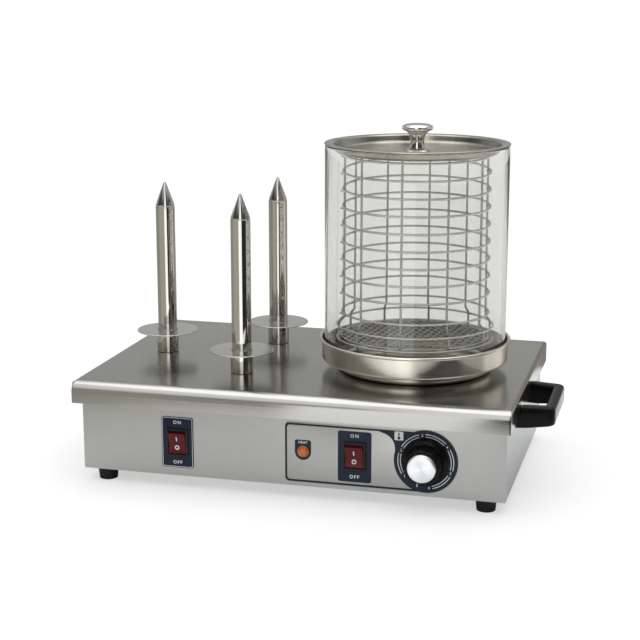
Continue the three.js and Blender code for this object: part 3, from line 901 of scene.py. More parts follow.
@dataclass
class Handles:
    """Two moulded grips: square-shouldered loops with soft edges, notched under the cover's lip."""

    shop: Workshop
    middle: float = -29.0
    half: float = 58.0
    leg: float = 14.0
    bar: float = 12.0
    foot: float = 234.3
    end: float = 276.0
    draw_in: float = 6.0
    outer_corner: float = 8.0
    inner_corner: float = 4.0
    level: float = 90.0
    half_height: float = 12.0
    fullness: float = 4.5
    notch: float = 240.6
    notch_height: float = 92.2
    taper_from: float = 246.0

    def _outline(self, half: float, end: float, corner: float) -> Array:
        """One side of the loop seen from above: two legs that draw in a little towards the bar.

        Args:
            half: Half the width across the legs at the panel.
            end: Distance of the bar's face from the machine's middle.
            corner: Length cut from each corner.

        Returns:
            Points, more of them along the legs.
        """
        low, high = self.middle - half, self.middle + half
        corners = np.array([[self.foot, low], [end, low + self.draw_in], [end, high - self.draw_in],
                            [self.foot, high]])
        bent = filleted(corners, corner, 10, closed=False)
        last = len(bent) - 1
        leg = np.linspace(0, 1, 24)
        stops = np.unique(np.concatenate([leg, np.arange(last), last - leg]))
        return np.column_stack([np.interp(stops, np.arange(last + 1), bent[:, k]) for k in (0, 1)])

    def _grip(self, top_fall: float, low_rise: float) -> Surface:
        """The right grip: a superellipse spans the loop's two outlines at every step along it.

        A section point at angle a lies the share c of the half width from the middle of the span
        and half_height * s above it, where c and s are the cosine and sine of a with their size
        raised to 2 / fullness. From taper_from outward the height shrinks along a straight line,
        and above the notch nothing lies nearer the panel.

        Args:
            top_fall: How far the top has come down at the bar.
            low_rise: How far the underside has come up at the bar.

        Returns:
            A closed surface.
        """
        outer = self._outline(self.half, self.end, self.outer_corner)
        inner = self._outline(self.half - self.leg, self.end - self.bar, self.inner_corner)
        a = round_turn(72)
        across, upward = (np.sign(part) * np.abs(part) ** (2 / self.fullness)
                          for part in (np.cos(a), np.sin(a)))
        middle, reach = (outer + inner) / 2, (outer - inner) / 2
        flat = middle[:, None] + reach[:, None] * across[None, :, None]
        along = np.clip((flat[..., 0] - self.taper_from) / (self.end - self.taper_from), 0.0, 1.0)
        fall = along * np.where(upward > 0, top_fall, low_rise)
        z = self.level + (self.half_height - fall) * upward
        x = np.where(z > self.notch_height, np.maximum(flat[..., 0], self.notch), flat[..., 0])
        return Surface.closed(np.stack([x, flat[..., 1], z], axis=-1))

    def build(self) -> None:
        """Builds both grips; the left one falls away more towards its bar."""
        right, left = self._grip(0.5, 3.0), self._grip(10.0, 3.0)
        mirrored = Surface(left.points * np.array([-1.0, 1.0, 1.0]),
                           [face[::-1] for face in left.faces])
        for side, shape in (("right", right), ("left", mirrored)):
            self.shop.piece(f"grip_{side}", shape, self.shop.palette.black, "cabinet",
                            "black_gloss", (f"handle_{side}",), sharp=30.0)


# ---------------------------------------------------------------------------------------------
# Controls on the front panel
# ---------------------------------------------------------------------------------------------
def rounded_box(x0: float, x1: float, z0: float, z1: float, radius: float,
                steps: int = 9) -> Array:
    """Rectangle with rounded corners; its first corner is the low left one."""
    return filleted(box_outline(x0, x1, z0, z1), radius, steps)


def band(radius: float, width: float, start: float, end: float, x: float, z: float) -> Array:
    """Closed outline of an arc of a ring between two angles in degrees."""
    a = np.radians(np.linspace(start, end, 40))
    outer, inner = radius + width / 2, radius - width / 2
    outside = np.column_stack([x + outer * np.cos(a), z + outer * np.sin(a)])
    inside = np.column_stack([x + inner * np.cos(a[::-1]), z + inner * np.sin(a[::-1])])
    return np.vstack([outside, inside])


def curve_through(points: Array, steps: int = 10) -> Array:
    """Smooth line through points, each span the Catmull-Rom cubic of its four nearest points."""
    padded = np.vstack([2 * points[0] - points[1], points, 2 * points[-1] - points[-2]])
    p0, p1, p2, p3 = padded[:-3, None], padded[1:-2, None], padded[2:-1, None], padded[3:, None]
    t = np.linspace(0.0, 1.0, steps, endpoint=False)[None, :, None]
    line = 0.5 * (2 * p1 + (p2 - p0) * t + (2 * p0 - 5 * p1 + 4 * p2 - p3) * t**2
                  + (3 * p1 - 3 * p2 + p3 - p0) * t**3)
    return np.vstack([line.reshape(-1, points.shape[1]), points[-1:]])


@dataclass
class RockerSwitch:
    """Panel switch: a bezel with a well, a body behind the panel and a rocker with its marks."""

    shop: Workshop
    name: str
    x: float
    z: float = 52.0
    pivot_y: float = -140.6
    panel: float = -143.9
    front: float = -146.1
    rest: float = 10.0
    reach: float = 10.8

    def _face(self, z: Union[float, Array]) -> Union[float, Array]:
        """Front of the rocker at a height about its pivot: y = -5 - 2 (z / reach)^2."""
        return -5.0 - 2.0 * (z / self.reach) ** 2

    def _bezel(self) -> Surface:
        """Frame as rings: up the outer wall, over a rounded face, down the well and its floor."""
        outer, inner = (12.7, 15.55), (9.95, 13.4)
        face, base, well = -self.front, -self.panel, 135.2
        steps = [(inner, -0.9, well - 1.0), (inner, -0.9, base), (outer, 0.0, base),
                 (outer, 0.0, face - 0.9), (outer, 0.25, face - 0.3), (outer, 0.8, face),
                 (inner, -0.4, face), (inner, 0.0, face - 0.4), (inner, 0.0, well)]
        rings = []
        for (half_x, half_z), inset, height in steps:
            radius = 2.2 if half_x == outer[0] else 1.0
            wide, high = half_x - inset, half_z - inset
            flat = rounded_box(-wide, wide, -high, high, radius)
            rings.append(at_height(flat, height))
        shape = Surface.closed(np.stack(rings))
        shape += slab(rounded_box(-10.5, 10.5, -13.3, 13.3, 1.0, 4), 122.0, well - 1.2, 0.3)
        for side in (-5.0, 5.0):
            shape += slab(box_outline(-3.2, 3.2, side - 0.4, side + 0.4), 114.0, 122.0)
        return shape.turned(FORWARD).moved(self.x, 0.0, self.z)

    def _rocker(self) -> Surface:
        """Rocker: a closed side profile carried across its width.

        At the two ends the profile shrinks towards its middle by 0.9 (1 - sqrt(1 - u^2))
        millimetres, u being how far into the last millimetre the section lies.
        """
        z = np.linspace(-self.reach, self.reach, 25)
        front = np.column_stack([z, self._face(z)])
        back = [[12.1, -6.0], [11.9, 1.8], [0.0, 4.2]]
        corners = np.vstack([[[-11.9, 1.8], [-12.1, -6.0]], front, back])
        radius = np.zeros(len(corners))
        radius[[0, 1, 2, 26, 27, 28]] = 0.8
        profile = filleted(corners, np.maximum(radius, 0.05), 4)
        u = np.array([1.0, 0.8, 0.5, 0.2, 0.0])
        width = np.concatenate([-9.7 + (1 - u), (9.7 - (1 - u))[::-1]])
        shrink = 1 - np.sqrt(1 - np.concatenate([u, u[::-1]]) ** 2)
        middle = np.array([0.0, -1.5])
        away = profile - middle
        away = away / np.linalg.norm(away, axis=1, keepdims=True)
        rings = profile[None] - away[None] * shrink[:, None, None] * 0.9
        across = np.broadcast_to(width[:, None], rings.shape[:2])
        return Surface.closed(np.stack([across, rings[..., 1], rings[..., 0]], axis=-1))

    def _seated(self, shape: Surface) -> Surface:
        """Tips a shape drawn about the pivot to its rest and sets it in the switch."""
        tip = Matrix.Rotation(math.radians(self.rest), 4, "X")
        return shape.turned(tip).moved(self.x, self.pivot_y, self.z)

    def build(self) -> None:
        """Builds the switch; the rocker and its marks ride on the rocker's own body."""
        look, moving = self.shop.palette, f"rocker_{self.name}_body"
        self.shop.piece(f"switch_frame_{self.name}", self._bezel(), look.matte, "cabinet",
                        "black_matte", (f"switch_body_{self.name}",))
        self.shop.piece(f"red_rocker_{self.name}", self._seated(self._rocker()), look.red, moving,
                        "red_rocker", (f"rocker_{self.name}",))
        line = slab(rounded_box(-0.55, 0.55, -2.7, 2.7, 0.3, 3), 0.0, 0.14)
        ring = revolved(np.array([[1.5, 0.0], [2.55, 0.0], [2.55, 0.14], [1.5, 0.14]]), 40)
        for mark, shape, height in (("on", line, 5.2), ("off", ring, -4.8)):
            slope = math.atan(4.0 * height / self.reach**2)
            placed = shape.turned(Matrix.Rotation(slope, 4, "X") @ FORWARD)
            placed = placed.moved(0.0, self._face(height) + 0.02, height)
            self.shop.piece(f"mark_{mark}_{self.name}", self._seated(placed), look.white, moving,
                            "navy_label")


@dataclass
class Dial:
    """Thermostat dial: printed scale on the panel, fluted knob and bright cap."""

    shop: Workshop
    x: float = DIAL_AXIS[0]
    z: float = DIAL_AXIS[1]
    number_reach: float = 28.3
    number_size: float = 4.4
    arc_gap: float = 7.0
    arc_width: float = 0.8
    arc_radii: tuple[float, float] = (26.9, 29.6)
    marks: tuple[float, ...] = (218.0, 158.0, 98.0, 38.0, -22.0, -82.0)
    pointer: float = 252.0
    flutes: int = 12
    flute_depth: float = 0.9

    def _knob(self) -> Surface:
        """Knob as rings of a profile; the grip's have radius r - d (1 - |cos(n a / 2)|^0.6)."""
        spec = np.array([
            [3.2, 144.6, 0], [24.6, 144.4, 0], [25.4, 145.0, 0], [25.4, 148.2, 0], [25.1, 149.3, 0],
            [24.3, 150.0, 0], [21.4, 150.3, 0], [20.6, 150.8, 0.4], [20.1, 152.0, 1],
            [19.5, 160.0, 1], [19.1, 164.6, 1], [18.6, 165.9, 0.9], [17.7, 166.5, 0.4],
            [16.6, 166.5, 0], [15.9, 166.0, 0], [15.9, 164.2, 0], [3.2, 164.2, 0]])
        a = round_turn(240)[None, :]
        cut = self.flute_depth * (1 - np.abs(np.cos(self.flutes * a / 2)) ** 0.6)
        r = spec[:, :1] - spec[:, 2:] * cut
        height = np.broadcast_to(spec[:, 1:2], r.shape)
        points = np.stack([r * np.cos(a), r * np.sin(a), height], axis=-1)
        return Surface.grid(points, wrap_rows=True, wrap_columns=True)

    def _placed(self, shape: Surface) -> Surface:
        """Faces a shape drawn about Z forward, at the dial's centre."""
        return shape.turned(FORWARD).moved(self.x, 0.0, self.z)

    def build(self) -> None:
        """Builds knob, cap and pointer on the dial's body, and the scale on the cabinet."""
        look = self.shop.palette
        self.shop.piece("fluted_knob", self._placed(self._knob()), look.black, "thermostat_dial",
                        "black_gloss", ("thermostat_knob",), sharp=40.0)
        cap = np.array([[0.0, 171.0], [9.0, 170.85], [13.2, 170.4], [14.7, 169.8], [15.3, 168.6],
                        [15.3, 164.4], [0.0, 164.4]])
        spun = revolved(filleted(cap, 1.0, 4, closed=False), 128, closed=False)
        self.shop.piece("spun_knob_cap", self._placed(spun), look.cap, "thermostat_dial",
                        "polished_steel", ("knob_cap",), sharp=50.0)
        a = math.radians(self.pointer)
        along = np.array([math.cos(a), math.sin(a)])
        across = np.array([-math.sin(a), math.cos(a)])
        corners = ((21.6, -0.7), (25.0, -0.7), (25.0, 0.7), (21.6, 0.7))
        mark = slab(np.array([along * r + across * w for r, w in corners]), 150.0, 150.42)
        self.shop.piece("knob_pointer", self._placed(mark), look.white, "thermostat_dial",
                        "navy_label")
        self._scale()

    def _scale(self) -> None:
        """Prints double arcs between the marks and a number at each, nought where it is off."""
        face, gap, reach = PANEL_FACE - PRINT, self.arc_gap, self.number_reach
        arcs = []
        for first, last in zip(self.marks[:-1], self.marks[1:]):
            arcs += [band(radius, self.arc_width, first - gap, last + gap, self.x, self.z)
                     for radius in self.arc_radii]
        self.shop.print_flat("dial_scale_arcs", arcs, face, self.shop.palette.white)
        for number, angle in enumerate((self.pointer, *self.marks)):
            a = math.radians(angle)
            self.shop.write(f"dial_number_{number}", str(number), self.x + reach * math.cos(a),
                            self.z + reach * math.sin(a), self.number_size, face)


@dataclass
class ControlPanel:
    """Label plates, their printing, the switches, the pilot lamp and the dial."""

    shop: Workshop
    face: float = PANEL_FACE
    line: float = 2.1
    left: float = -2.3
    low: float = 19.1
    high: float = 83.9
    nose_radius: float = 34.1
    disc_radius: float = 34.0
    word_size: float = 5.2
    on_height: float = 74.2
    off_height: float = 29.2

    def build(self) -> None:
        """Builds everything on the front panel."""
        self._plates()
        self._printing()
        RockerSwitch(self.shop, "spikes", -124.0).build()
        RockerSwitch(self.shop, "steamer", 73.5).build()
        self._lamp()
        Dial(self.shop).build()

    def _plates(self) -> None:
        """The left switch's navy plate with its pale border, and the wide steel plate's edge."""
        look = self.shop.palette
        plate = slab(rounded_box(-142.0, -106.0, 23.3, 80.3, 3.0), 143.3, -self.face, 0.12)
        wide = np.array([[140.0, 84.7], [-2.6, 84.7], [-2.6, 18.4], [150.0, 18.2]])
        wide = filleted(wide, 5.2, 8, closed=False)
        a = np.radians(np.linspace(-88.0, 106.0, 80))
        nose = np.array(DIAL_AXIS) + self.nose_radius * np.column_stack([np.cos(a), np.sin(a)])
        steel = slab(np.vstack([wide, nose]), 143.3, -self.face, 0.08).turned(FORWARD)
        self.shop.piece("control_plate", steel, look.housing, "cabinet", "housing_steel",
                        ("control_overlay",))
        self.shop.piece("switch_plate", plate.turned(FORWARD), look.navy, "cabinet", "navy_label",
                        ("switch_label",))
        self.shop.print_flat("switch_plate_border", [rounded_box(-141.2, -106.8, 24.1, 79.5, 2.6),
                                                     rounded_box(-140.7, -107.3, 24.6, 79.0, 2.3)],
                             self.face, look.white, thick=0.08)

    def _printing(self) -> None:
        """Navy line, swoosh, disc, shield and switch field, with the white lettering on them."""
        shop, look = self.shop, self.shop.palette
        edge, over, top = self.line, self.face - PRINT, self.face - 2 * PRINT
        ends = []
        for inset, right, radius in ((0.0, 150.0, 5.0), (edge, 151.0, 3.8)):
            low, high = self.low + inset, self.high - inset
            box = rounded_box(self.left + inset, right, low, high, radius)
            ends.append(np.vstack([box[:9], [[152.0, low], [152.0, high]], box[27:]]))
        outer, inner = ends
        line = np.vstack([outer[9:0:-1], outer[0:1], outer[:9:-1], inner[10:], inner[:10]])
        shop.print_flat("panel_line", [line], self.face, look.navy)
        bend = curve_through(np.array([
            [90.0, 83.0], [100.0, 81.6], [110.5, 77.2], [116.0, 70.0], [117.4, 60.0], [119.0, 45.0],
            [122.0, 36.0], [128.0, 28.6], [137.0, 21.6], [144.0, 19.0]]))
        field_edge = np.vstack([bend, [[150.0, 18.5], [150.0, self.high], [90.0, self.high]]])
        icon = rounded_box(116.5, 126.0, 73.5, 83.0, 1.4)
        shop.print_flat("panel_swoosh", [field_edge], self.face, look.navy, thick=0.11)
        shop.print_flat("gauge_field", [icon], over, look.white)
        disc = ring_outline(self.disc_radius, 128, *DIAL_AXIS)
        shop.print_flat("dial_disc", [disc], self.face, look.navy, thick=0.115)
        stem = rounded_box(120.7, 121.8, 76.6, 81.8, 0.5, 5)
        shop.print_flat("gauge_sign", [stem], top, look.navy)
        bulb = ring_outline(1.5, 32, 121.25, 75.9)
        shop.print_flat("gauge_bulb", [bulb], top, look.navy, thick=0.1)
        under = np.radians(np.linspace(180.0, 360.0, 33))
        bowl = np.column_stack([17.35 + 8.85 * np.cos(under), 52.45 + 8.85 * np.sin(under)])
        brow = np.array([[26.2, 53.0], [26.2, 65.8], [8.5, 65.8], [8.5, 53.0]])
        shield = np.vstack([bowl, filleted(brow, 2.4, 7, closed=False)])
        shop.print_flat("heat_shield", [shield], self.face, look.navy)
        switch_field = rounded_box(55.6, 92.0, 23.5, 79.4, 3.0)
        shop.print_flat("steamer_field", [switch_field], self.face, look.navy)
        shop.write("word_heat", "HEAT", 17.35, 62.9, 3.8, over, 1.15)
        for name, x in (("spikes", -124.0), ("steamer", 73.7)):
            shop.write(f"word_on_{name}", "ON", x, self.on_height, self.word_size, over, 1.35)
            shop.write(f"word_off_{name}", "OFF", x, self.off_height, self.word_size, over, 1.3)

    def _lamp(self) -> None:
        """Pilot lamp: a flanged dome."""
        low, high = self.shop.box("lamp_lens")
        x, z, front = (low[0] + high[0]) / 2, (low[2] + high[2]) / 2, -low[1]
        profile = np.array([[0.0, front], [2.5, front - 0.2], [4.4, front - 0.9],
                            [5.3, front - 1.9], [5.5, front - 3.0], [6.3, front - 3.2],
                            [6.4, front - 3.6], [6.4, -self.face], [0.0, -self.face]])
        lens = revolved(filleted(profile, 0.4, 4, closed=False), 96, closed=False)
        self.shop.piece("lamp_dome", lens.turned(FORWARD).moved(x, 0.0, z),
                        self.shop.palette.amber, "cabinet", "amber_lens", ("lamp_lens",))


# ---------------------------------------------------------------------------------------------
# Heated spikes
# ---------------------------------------------------------------------------------------------
@dataclass
class Spike:
    """A polished spike with its collar and its loose bun disc."""

    shop: Workshop
    number: int
    radius: float = 11.0
    bore: float = 9.5
    cone: float = 27.5

    def build(self) -> None:
        """Builds the spike and collar on the cabinet and the disc on its own body."""
        n, look = self.number, self.shop.palette
        low, high = self.shop.box(f"spike_{n}")
        x, y = (low[:2] + high[:2]) / 2
        foot, tip, shoulder = low[2], high[2], high[2] - self.cone
        r = self.radius
        outside = filleted(np.array([
            [0.0, tip], [1.1, tip - 0.5], [r - 0.15, shoulder + 0.7], [r - 0.75, shoulder + 0.35],
            [r - 0.75, shoulder - 0.15], [r, shoulder - 0.5], [r, foot], [self.bore, foot],
            [self.bore, shoulder - 6.0], [0.0, shoulder - 2.0]]), 0.5, 4, closed=False)
        spike = revolved(outside, 128, closed=False).moved(x, y)
        self.shop.piece(f"polished_spike_{n}", spike, look.polish[n - 1], "cabinet",
                        "polished_steel", (f"spike_{n}",), sharp=12.0)
        ring = self._washer(f"spike_collar_{n}", 0.25, np.array([0.6, 0.7, 0.2, 0.2]), 5)
        self.shop.piece(f"spike_sleeve_{n}", revolved(ring, 128).moved(x, y), look.polish[n - 1],
                        "cabinet", "polished_steel", (f"spike_collar_{n}",))
        plate = self._washer(f"bun_disc_{n}", 0.7, 0.55, 6)
        self.shop.piece(f"thin_disc_{n}", revolved(plate, 160).moved(x, y), look.disc, f"disc_{n}",
                        "polished_steel", (f"bun_disc_{n}",), sharp=60.0)

    def _washer(self, node: str, gap: float, radius: Union[float, Array], steps: int) -> Array:
        """Rounded section of a ring that stands for a node, a gap clear of the spike."""
        low, high = self.shop.box(node)
        wide, bore = (high[0] - low[0]) / 2, self.radius + gap
        corners = np.array([[wide, low[2]], [wide, high[2]], [bore, high[2]], [bore, low[2]]])
        return filleted(corners, radius, steps)


# ---------------------------------------------------------------------------------------------
# Steamer
# ---------------------------------------------------------------------------------------------
@dataclass
class Steamer:
    """Water pan, glass, lid with its knob, and the wire basket, all about one upright axis."""

    shop: Workshop
    x: float = PAN_AXIS[0]
    y: float = PAN_AXIS[1]
    pan_floor: float = 116.8
    dish: float = 358.2
    glass_wall: float = 3.0
    wire: float = 1.25
    uprights: int = 10
    hoop: float = 81.4
    foot_hoop: float = 86.3
    low_hoop: float = 183.0
    first_hoop: float = 205.3
    hoop_pitch: float = 18.65
    floor_turns: tuple[float, float] = (84.0, 127.0)

    def build(self) -> None:
        """Builds every piece of the steamer."""
        self._pan()
        self._glass()
        self._lid()
        self._basket()
        self._mesh_floor()

    def _turned(self, name: str, profile: Array, look: bpy.types.Material, body: str, slot: str,
                replaces: Sequence[str], closed: bool = True, segments: int = 192) -> None:
        """Makes a piece by turning a profile about the steamer's axis."""
        shape = revolved(profile, segments, closed).moved(self.x, self.y)
        self.shop.piece(name, shape, look, body, slot, replaces, sharp=40.0)

    def _wires(self, name: str, wires: Surface, look: bpy.types.Material,
               replaces: Sequence[str]) -> None:
        """Makes a piece of the basket from wires about the steamer's axis."""
        self.shop.piece(name, wires.moved(self.x, self.y), look, "basket_assembly", "wire_steel",
                        replaces, sharp=60.0)

    def _pan(self) -> None:
        """Drawn pan: foot, step, wall and rolled bead, then back down inside."""
        profile = np.array([
            [0, 0], [85, 0], [88.6, 3.4], [88.6, 8.2], [90, 9.8], [102.2, 10.2], [104.2, 12.4],
            [104.4, 32.4], [106.4, 32.6], [107.2, 34.2], [106.2, 35.6], [104.2, 35.6],
            [103.2, 34.2], [103.2, 13.4], [102, 11.6], [90.6, 11.1], [87.4, 8.6], [87.4, 4.4],
            [84.6, 1.3], [0, 1.3]], float)
        radius = np.full(len(profile), 0.9)
        radius[[1, 2, 3, 4, 5, 6, 13, 14, 15, 16, 17, 18]] = 1.6
        line = filleted(profile + np.array([0.0, self.pan_floor]), radius, 6, closed=False)
        self._turned("drawn_pan", line, self.shop.palette.pan, "cabinet", "polished_steel",
                     ("water_pan",), closed=False)

    def _glass(self) -> None:
        """Glass tube with fire-polished rims."""
        low, high = self.shop.box("glass_cylinder")
        outer = (high[0] - low[0]) / 2
        inner = outer - self.glass_wall
        corners = np.array([[outer, low[2]], [outer, high[2]], [inner, high[2]], [inner, low[2]]])
        self._turned("glass_tube", filleted(corners, 1.3, 8), self.shop.palette.glass, "glass",
                     "clear_glass", ("glass_cylinder",), segments=256)

    def _lid(self) -> None:
        """Pressed lid and its turned knob."""
        lid = np.array([
            [2.4, 0], [90, 0], [92.4, 2.4], [93.4, 8], [95, 9.1], [101.5, 9.1], [102.2, 9.8],
            [101.7, 10.6], [95, 10.6], [92.2, 9.6], [90.6, 3.4], [89.3, 1.3], [15, 1.3],
            [12.6, 3.8], [2.4, 3.8]], float)
        radius = np.full(len(lid), 1.1)
        radius[[0, 14]] = 0.1
        radius[[5, 6, 7]] = 0.5
        line = filleted(lid + np.array([0.0, self.dish]), radius, 6)
        self._turned("pressed_lid", line, self.shop.palette.lid, "lid_assembly", "polished_steel",
                     ("lid",))
        knob = np.array([
            [2.2, 362.3], [8.6, 362.3], [7.9, 366], [7.5, 372], [8.6, 377], [12, 381], [16.4, 383],
            [17.4, 384.4], [17.2, 386.6], [13.5, 388.9], [7, 389.8], [0, 390]], float)
        radius = np.array([0.2, 0.8, 2.2, 3, 3, 3, 1.2, 1.0, 1.4, 2.4, 3, 0])
        line = filleted(knob, radius, 8, closed=False)
        line = np.vstack([[[0.0, 373.4], [2.2, 373.4]], line])
        self._turned("turned_lid_knob", line, self.shop.palette.chrome, "lid_assembly", "chrome",
                     ("lid_knob",), closed=False, segments=128)

    def _ring(self, radius: float, z: float) -> Surface:
        """A hoop of wire about the steamer's axis."""
        return swept(at_height(ring_outline(radius, 144), z), self.wire, 10, True)

    def _upright(self, index: int) -> Surface:
        """An upright wire: straight down, flaring past the foot hoops, some going on as legs."""
        a = (index + 0.5) * 2 * math.pi / self.uprights
        down = [[79.5, 356.2], [79.5, 300.0], [79.5, 240.0], [79.5, 182.0], [79.9, 176.0],
                [83.7, 171.5], [84.4, 168.0], [84.4, 160.0], [84.2, 153.2]]
        if index in (0, 3, 6):
            down += [[83.0, 146.0], [80.6, 141.0], [80.0, 134.0], [80.0, 119.4]]
        reach, height = curve_through(np.array(down), 4).T
        path = np.column_stack([reach * math.cos(a), reach * math.sin(a), height])
        return swept(path, self.wire, 10, False, up=(-math.sin(a), math.cos(a), 0.0))

    def _eye(self, z: float, turn: float) -> Surface:
        """A small eye where a hoop's wire ends round an upright."""
        a = round_turn(20)
        path = np.column_stack([81.0 + 2.5 * np.cos(a), 2.5 * np.sin(a), z + 1.0 * np.sin(a)])
        ring = swept(path, 0.95, 8, True)
        return ring.turned(Matrix.Rotation(turn, 4, "Z"))

    def _basket(self) -> None:
        """Welded wire basket on its legs."""
        heights = [self.low_hoop] + [self.first_hoop + self.hoop_pitch * k for k in range(9)]
        wires = self._ring(self.foot_hoop, 154.0) + self._ring(self.foot_hoop, 168.6)
        for z in heights:
            wires += self._ring(self.hoop, z)
            for turn in (math.radians(18), math.radians(198)):
                wires += self._eye(z - 2.2, turn)
        self._wires("wire_basket", wires, self.shop.palette.wire, ("basket",))
        rods = self._upright(0)
        for index in range(1, self.uprights):
            rods += self._upright(index)
        for direction in ((1.0, 0.0), (0.0, 1.0)):
            ends = np.linspace(-85.6, 85.6, 12)[:, None] * np.array(direction)[None, :]
            rods += swept(at_height(ends, 153.9), self.wire, 10, False)
        # The uprights and cross rods are drawn in the wire's steel darkened: painted shade.
        self._wires("basket_uprights", rods, self.shop.palette.rod, ())

    def _mesh_floor(self) -> None:
        """Welded floor: two layers of fine wires that cross in long diamonds, inside a hoop."""
        low, high = self.shop.box("basket_floor")
        middle, reach, pitch, wire = (low[2] + high[2]) / 2, 81.6, 8.0, 0.6
        cloth = swept(at_height(ring_outline(reach, 144), middle), 0.8, 8, True)
        places = np.arange(-12, 13) * pitch
        for turn, lift in zip(map(math.radians, self.floor_turns), (0.5, -0.5)):
            for across in places[np.abs(places) < reach - 1.0]:
                half = math.sqrt(reach**2 - across**2)
                path = np.array([[x, across, middle + lift] for x in (-half, 0.0, half)])
                cloth += swept(path, wire, 8, False).turned(Matrix.Rotation(turn, 4, "Z"))
        self._wires("woven_floor", cloth, self.shop.palette.wire, ("basket_floor",))


# ---------------------------------------------------------------------------------------------
# Studio
# ---------------------------------------------------------------------------------------------
@dataclass(frozen=True)
class Card:
    """A curved board about the machine that only mirrors see; angles in degrees, metres."""

    start: float
    end: float
    tone: Colour
    radius: float = 0.62
    low: float = 0.002
    high: float = 0.30
    apron: float = 0.54


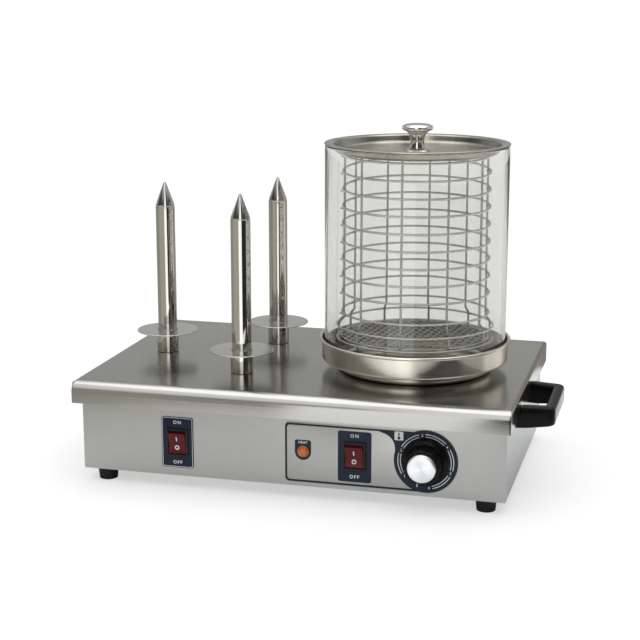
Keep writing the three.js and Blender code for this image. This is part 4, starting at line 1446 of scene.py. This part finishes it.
@dataclass
class Studio:
    """Camera, pale floor and soft light."""

    place: tuple[float, float, float] = (422.46, -1620.19, 543.64)
    tilt: float = 77.215
    yaw: float = 14.664
    lens: float = 84.695
    floor_half: float = 60.0
    floor_level: float = -0.2
    floor_glow: float = 0.55
    lamp_strength: float = 0.85
    lamp_spread: float = 60.0
    lamp_tip: float = -6.0
    cards: tuple[Card, ...] = (
        Card(-70, -20, (0.03, 0.03, 0.035)), Card(-20, 4.5, (0.26, 0.25, 0.24)),
        Card(4.5, 41, (0.85, 0.79, 0.77)), Card(41, 70, (0.32, 0.29, 0.26)),
        Card(70, 150, (0.48, 0.48, 0.47)), Card(150, 200, (0.36, 0.35, 0.31)),
        Card(200, 259, (0.50, 0.48, 0.42)), Card(259, 290, (1.6, 1.6, 1.6), apron=0.43),
        Card(-92, -68, (1.5, 1.5, 1.5), 0.9, 0.34, 1.5, 0.9),
        Card(-68, -46, (0.05, 0.05, 0.05), 0.9, 0.34, 1.5, 0.9))

    def build(self) -> None:
        """Builds the camera, the floor and the lights."""
        self._camera()
        self._floor()
        self._sky()
        self._overhead()
        for number, card in enumerate(self.cards):
            self._card(f"card_{number}", card)

    def _camera(self) -> None:
        """Camera at the fitted place."""
        lens = bpy.data.cameras.new("camera")
        lens.lens, lens.sensor_width, lens.sensor_fit = self.lens, 36.0, "AUTO"
        lens.clip_start, lens.clip_end = 0.05, 200.0
        camera = linked("camera", lens)
        camera.location = Vector(self.place) * MM
        camera.rotation_euler = (math.radians(self.tilt), 0.0, math.radians(self.yaw))
        bpy.context.scene.camera = camera

    def _floor(self) -> None:
        """Wide pale floor."""
        h = self.floor_half / MM
        z = self.floor_level
        shape = Surface.grid(np.array([[[-h, -h, z], [h, -h, z]], [[-h, h, z], [h, h, z]]]))
        mesh = new_mesh("studio_floor", shape.points * MM, shape.faces)
        made, graph = start_material("studio_paper")
        paper = graph.principled(Base_Color=(0.96, 0.96, 0.96, 1.0), Roughness=0.85,
                                 Specular_IOR_Level=0.1)
        glow = graph.add("ShaderNodeEmission", {}, {"Color": (1.0, 1.0, 1.0, 1.0), "Strength": 1.0})
        graph.output(graph.mixed(graph.ray("Is Camera Ray") * self.floor_glow, paper, glow))
        mesh.materials.append(made)
        floor = linked("studio_floor", mesh)

    def _sky(self) -> None:
        """World bright overhead, grey low behind, dark low in front; the camera sees it white."""
        world = bpy.data.worlds.new("studio_sky")
        world.use_nodes = True
        graph = Graph(world.node_tree)
        _, y, z = graph.axes(graph.place("Generated"))
        behind = y.step(-0.35, 0.35)
        low = behind * 0.38 + 0.07
        high = z.step(0.32, 0.74) * (1.0 - behind) + z.step(0.42, 0.98) * behind
        level = low + high * (1.35 - low)
        level = level + graph.ray("Is Camera Ray") * (1.0 - level)
        tone = graph.vector(level, level, level)
        back = graph.add("ShaderNodeBackground", {}, {"Color": tone, "Strength": 1.0})
        graph.add("ShaderNodeOutputWorld", {}, {"Surface": back.outputs[0]})
        bpy.context.scene.world = world

    def _overhead(self) -> None:
        """One very wide soft light overhead, tipped a little to the back."""
        lamp = bpy.data.lights.new("overhead", "SUN")
        lamp.energy, lamp.angle = self.lamp_strength, math.radians(self.lamp_spread)
        linked("overhead", lamp).rotation_euler = (math.radians(self.lamp_tip), 0.0, 0.0)

    def _card(self, name: str, card: Card) -> None:
        """An upright arc of one tone with a flat apron, about the machine's middle."""
        a = np.radians(np.linspace(card.start, card.end, 24))
        ray = np.column_stack([np.cos(a), np.sin(a)])
        line = ((card.apron, card.low), (card.radius, card.low), (card.radius, card.high))
        shape = Surface.grid(np.stack([at_height(ray * r, z) for r, z in line]))
        mesh = new_mesh(name, shape.points, shape.faces)
        made, graph = start_material(name)
        graph.output(graph.add("ShaderNodeEmission", {}, {"Color": (*card.tone, 1.0)}))
        mesh.materials.append(made)
        board = linked(name, mesh)
        board.visible_camera = board.visible_diffuse = False
        board.visible_shadow = board.visible_transmission = False


def dress_frame(shop: Workshop) -> None:
    """Gives every CAD node that stays in view its finish."""
    look = shop.palette
    shared = {
        look.housing: ("front_panel", "rear_panel"),
        look.side: ("side_panel_left", "side_panel_right"),
        look.zinc: ("bottom_plate", "heater_plate", *(f"spike_nut_{n}" for n in (1, 2, 3)),
                    *(f"foot_screw_{n}" for n in (1, 2, 3, 4)),
                    *(f"handle_screw_{side}_{n}" for side in ("left", "right") for n in (1, 2)),
                    "thermostat_body", "thermostat_shaft", "lamp_body", "lid_knob_screw"),
        look.wire: (*(f"cartridge_heater_{n}" for n in (1, 2, 3)), "thermostat_bulb"),
        look.cream: ("terminal_block",),
        look.matte: ("cable_gland",),
    }
    for material, nodes in shared.items():
        for node in nodes:
            shop.dress(node, material)


def main() -> None:
    """Builds the machine and its studio in order."""
    logging.basicConfig(level=logging.INFO, format="%(name)s: %(message)s")
    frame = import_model()
    shop = Workshop(frame, Palette())
    Studio().build()
    for group in (TopCover, Feet, Handles, ControlPanel):
        group(shop).build()
    for number in (1, 2, 3):
        Spike(shop, number).build()
    Steamer(shop).build()
    dress_frame(shop)
    bpy.context.scene.view_settings.view_transform = "Standard"
    LOG.info("%d pieces made", len(shop.made))


if __name__ == "__main__":
    main()
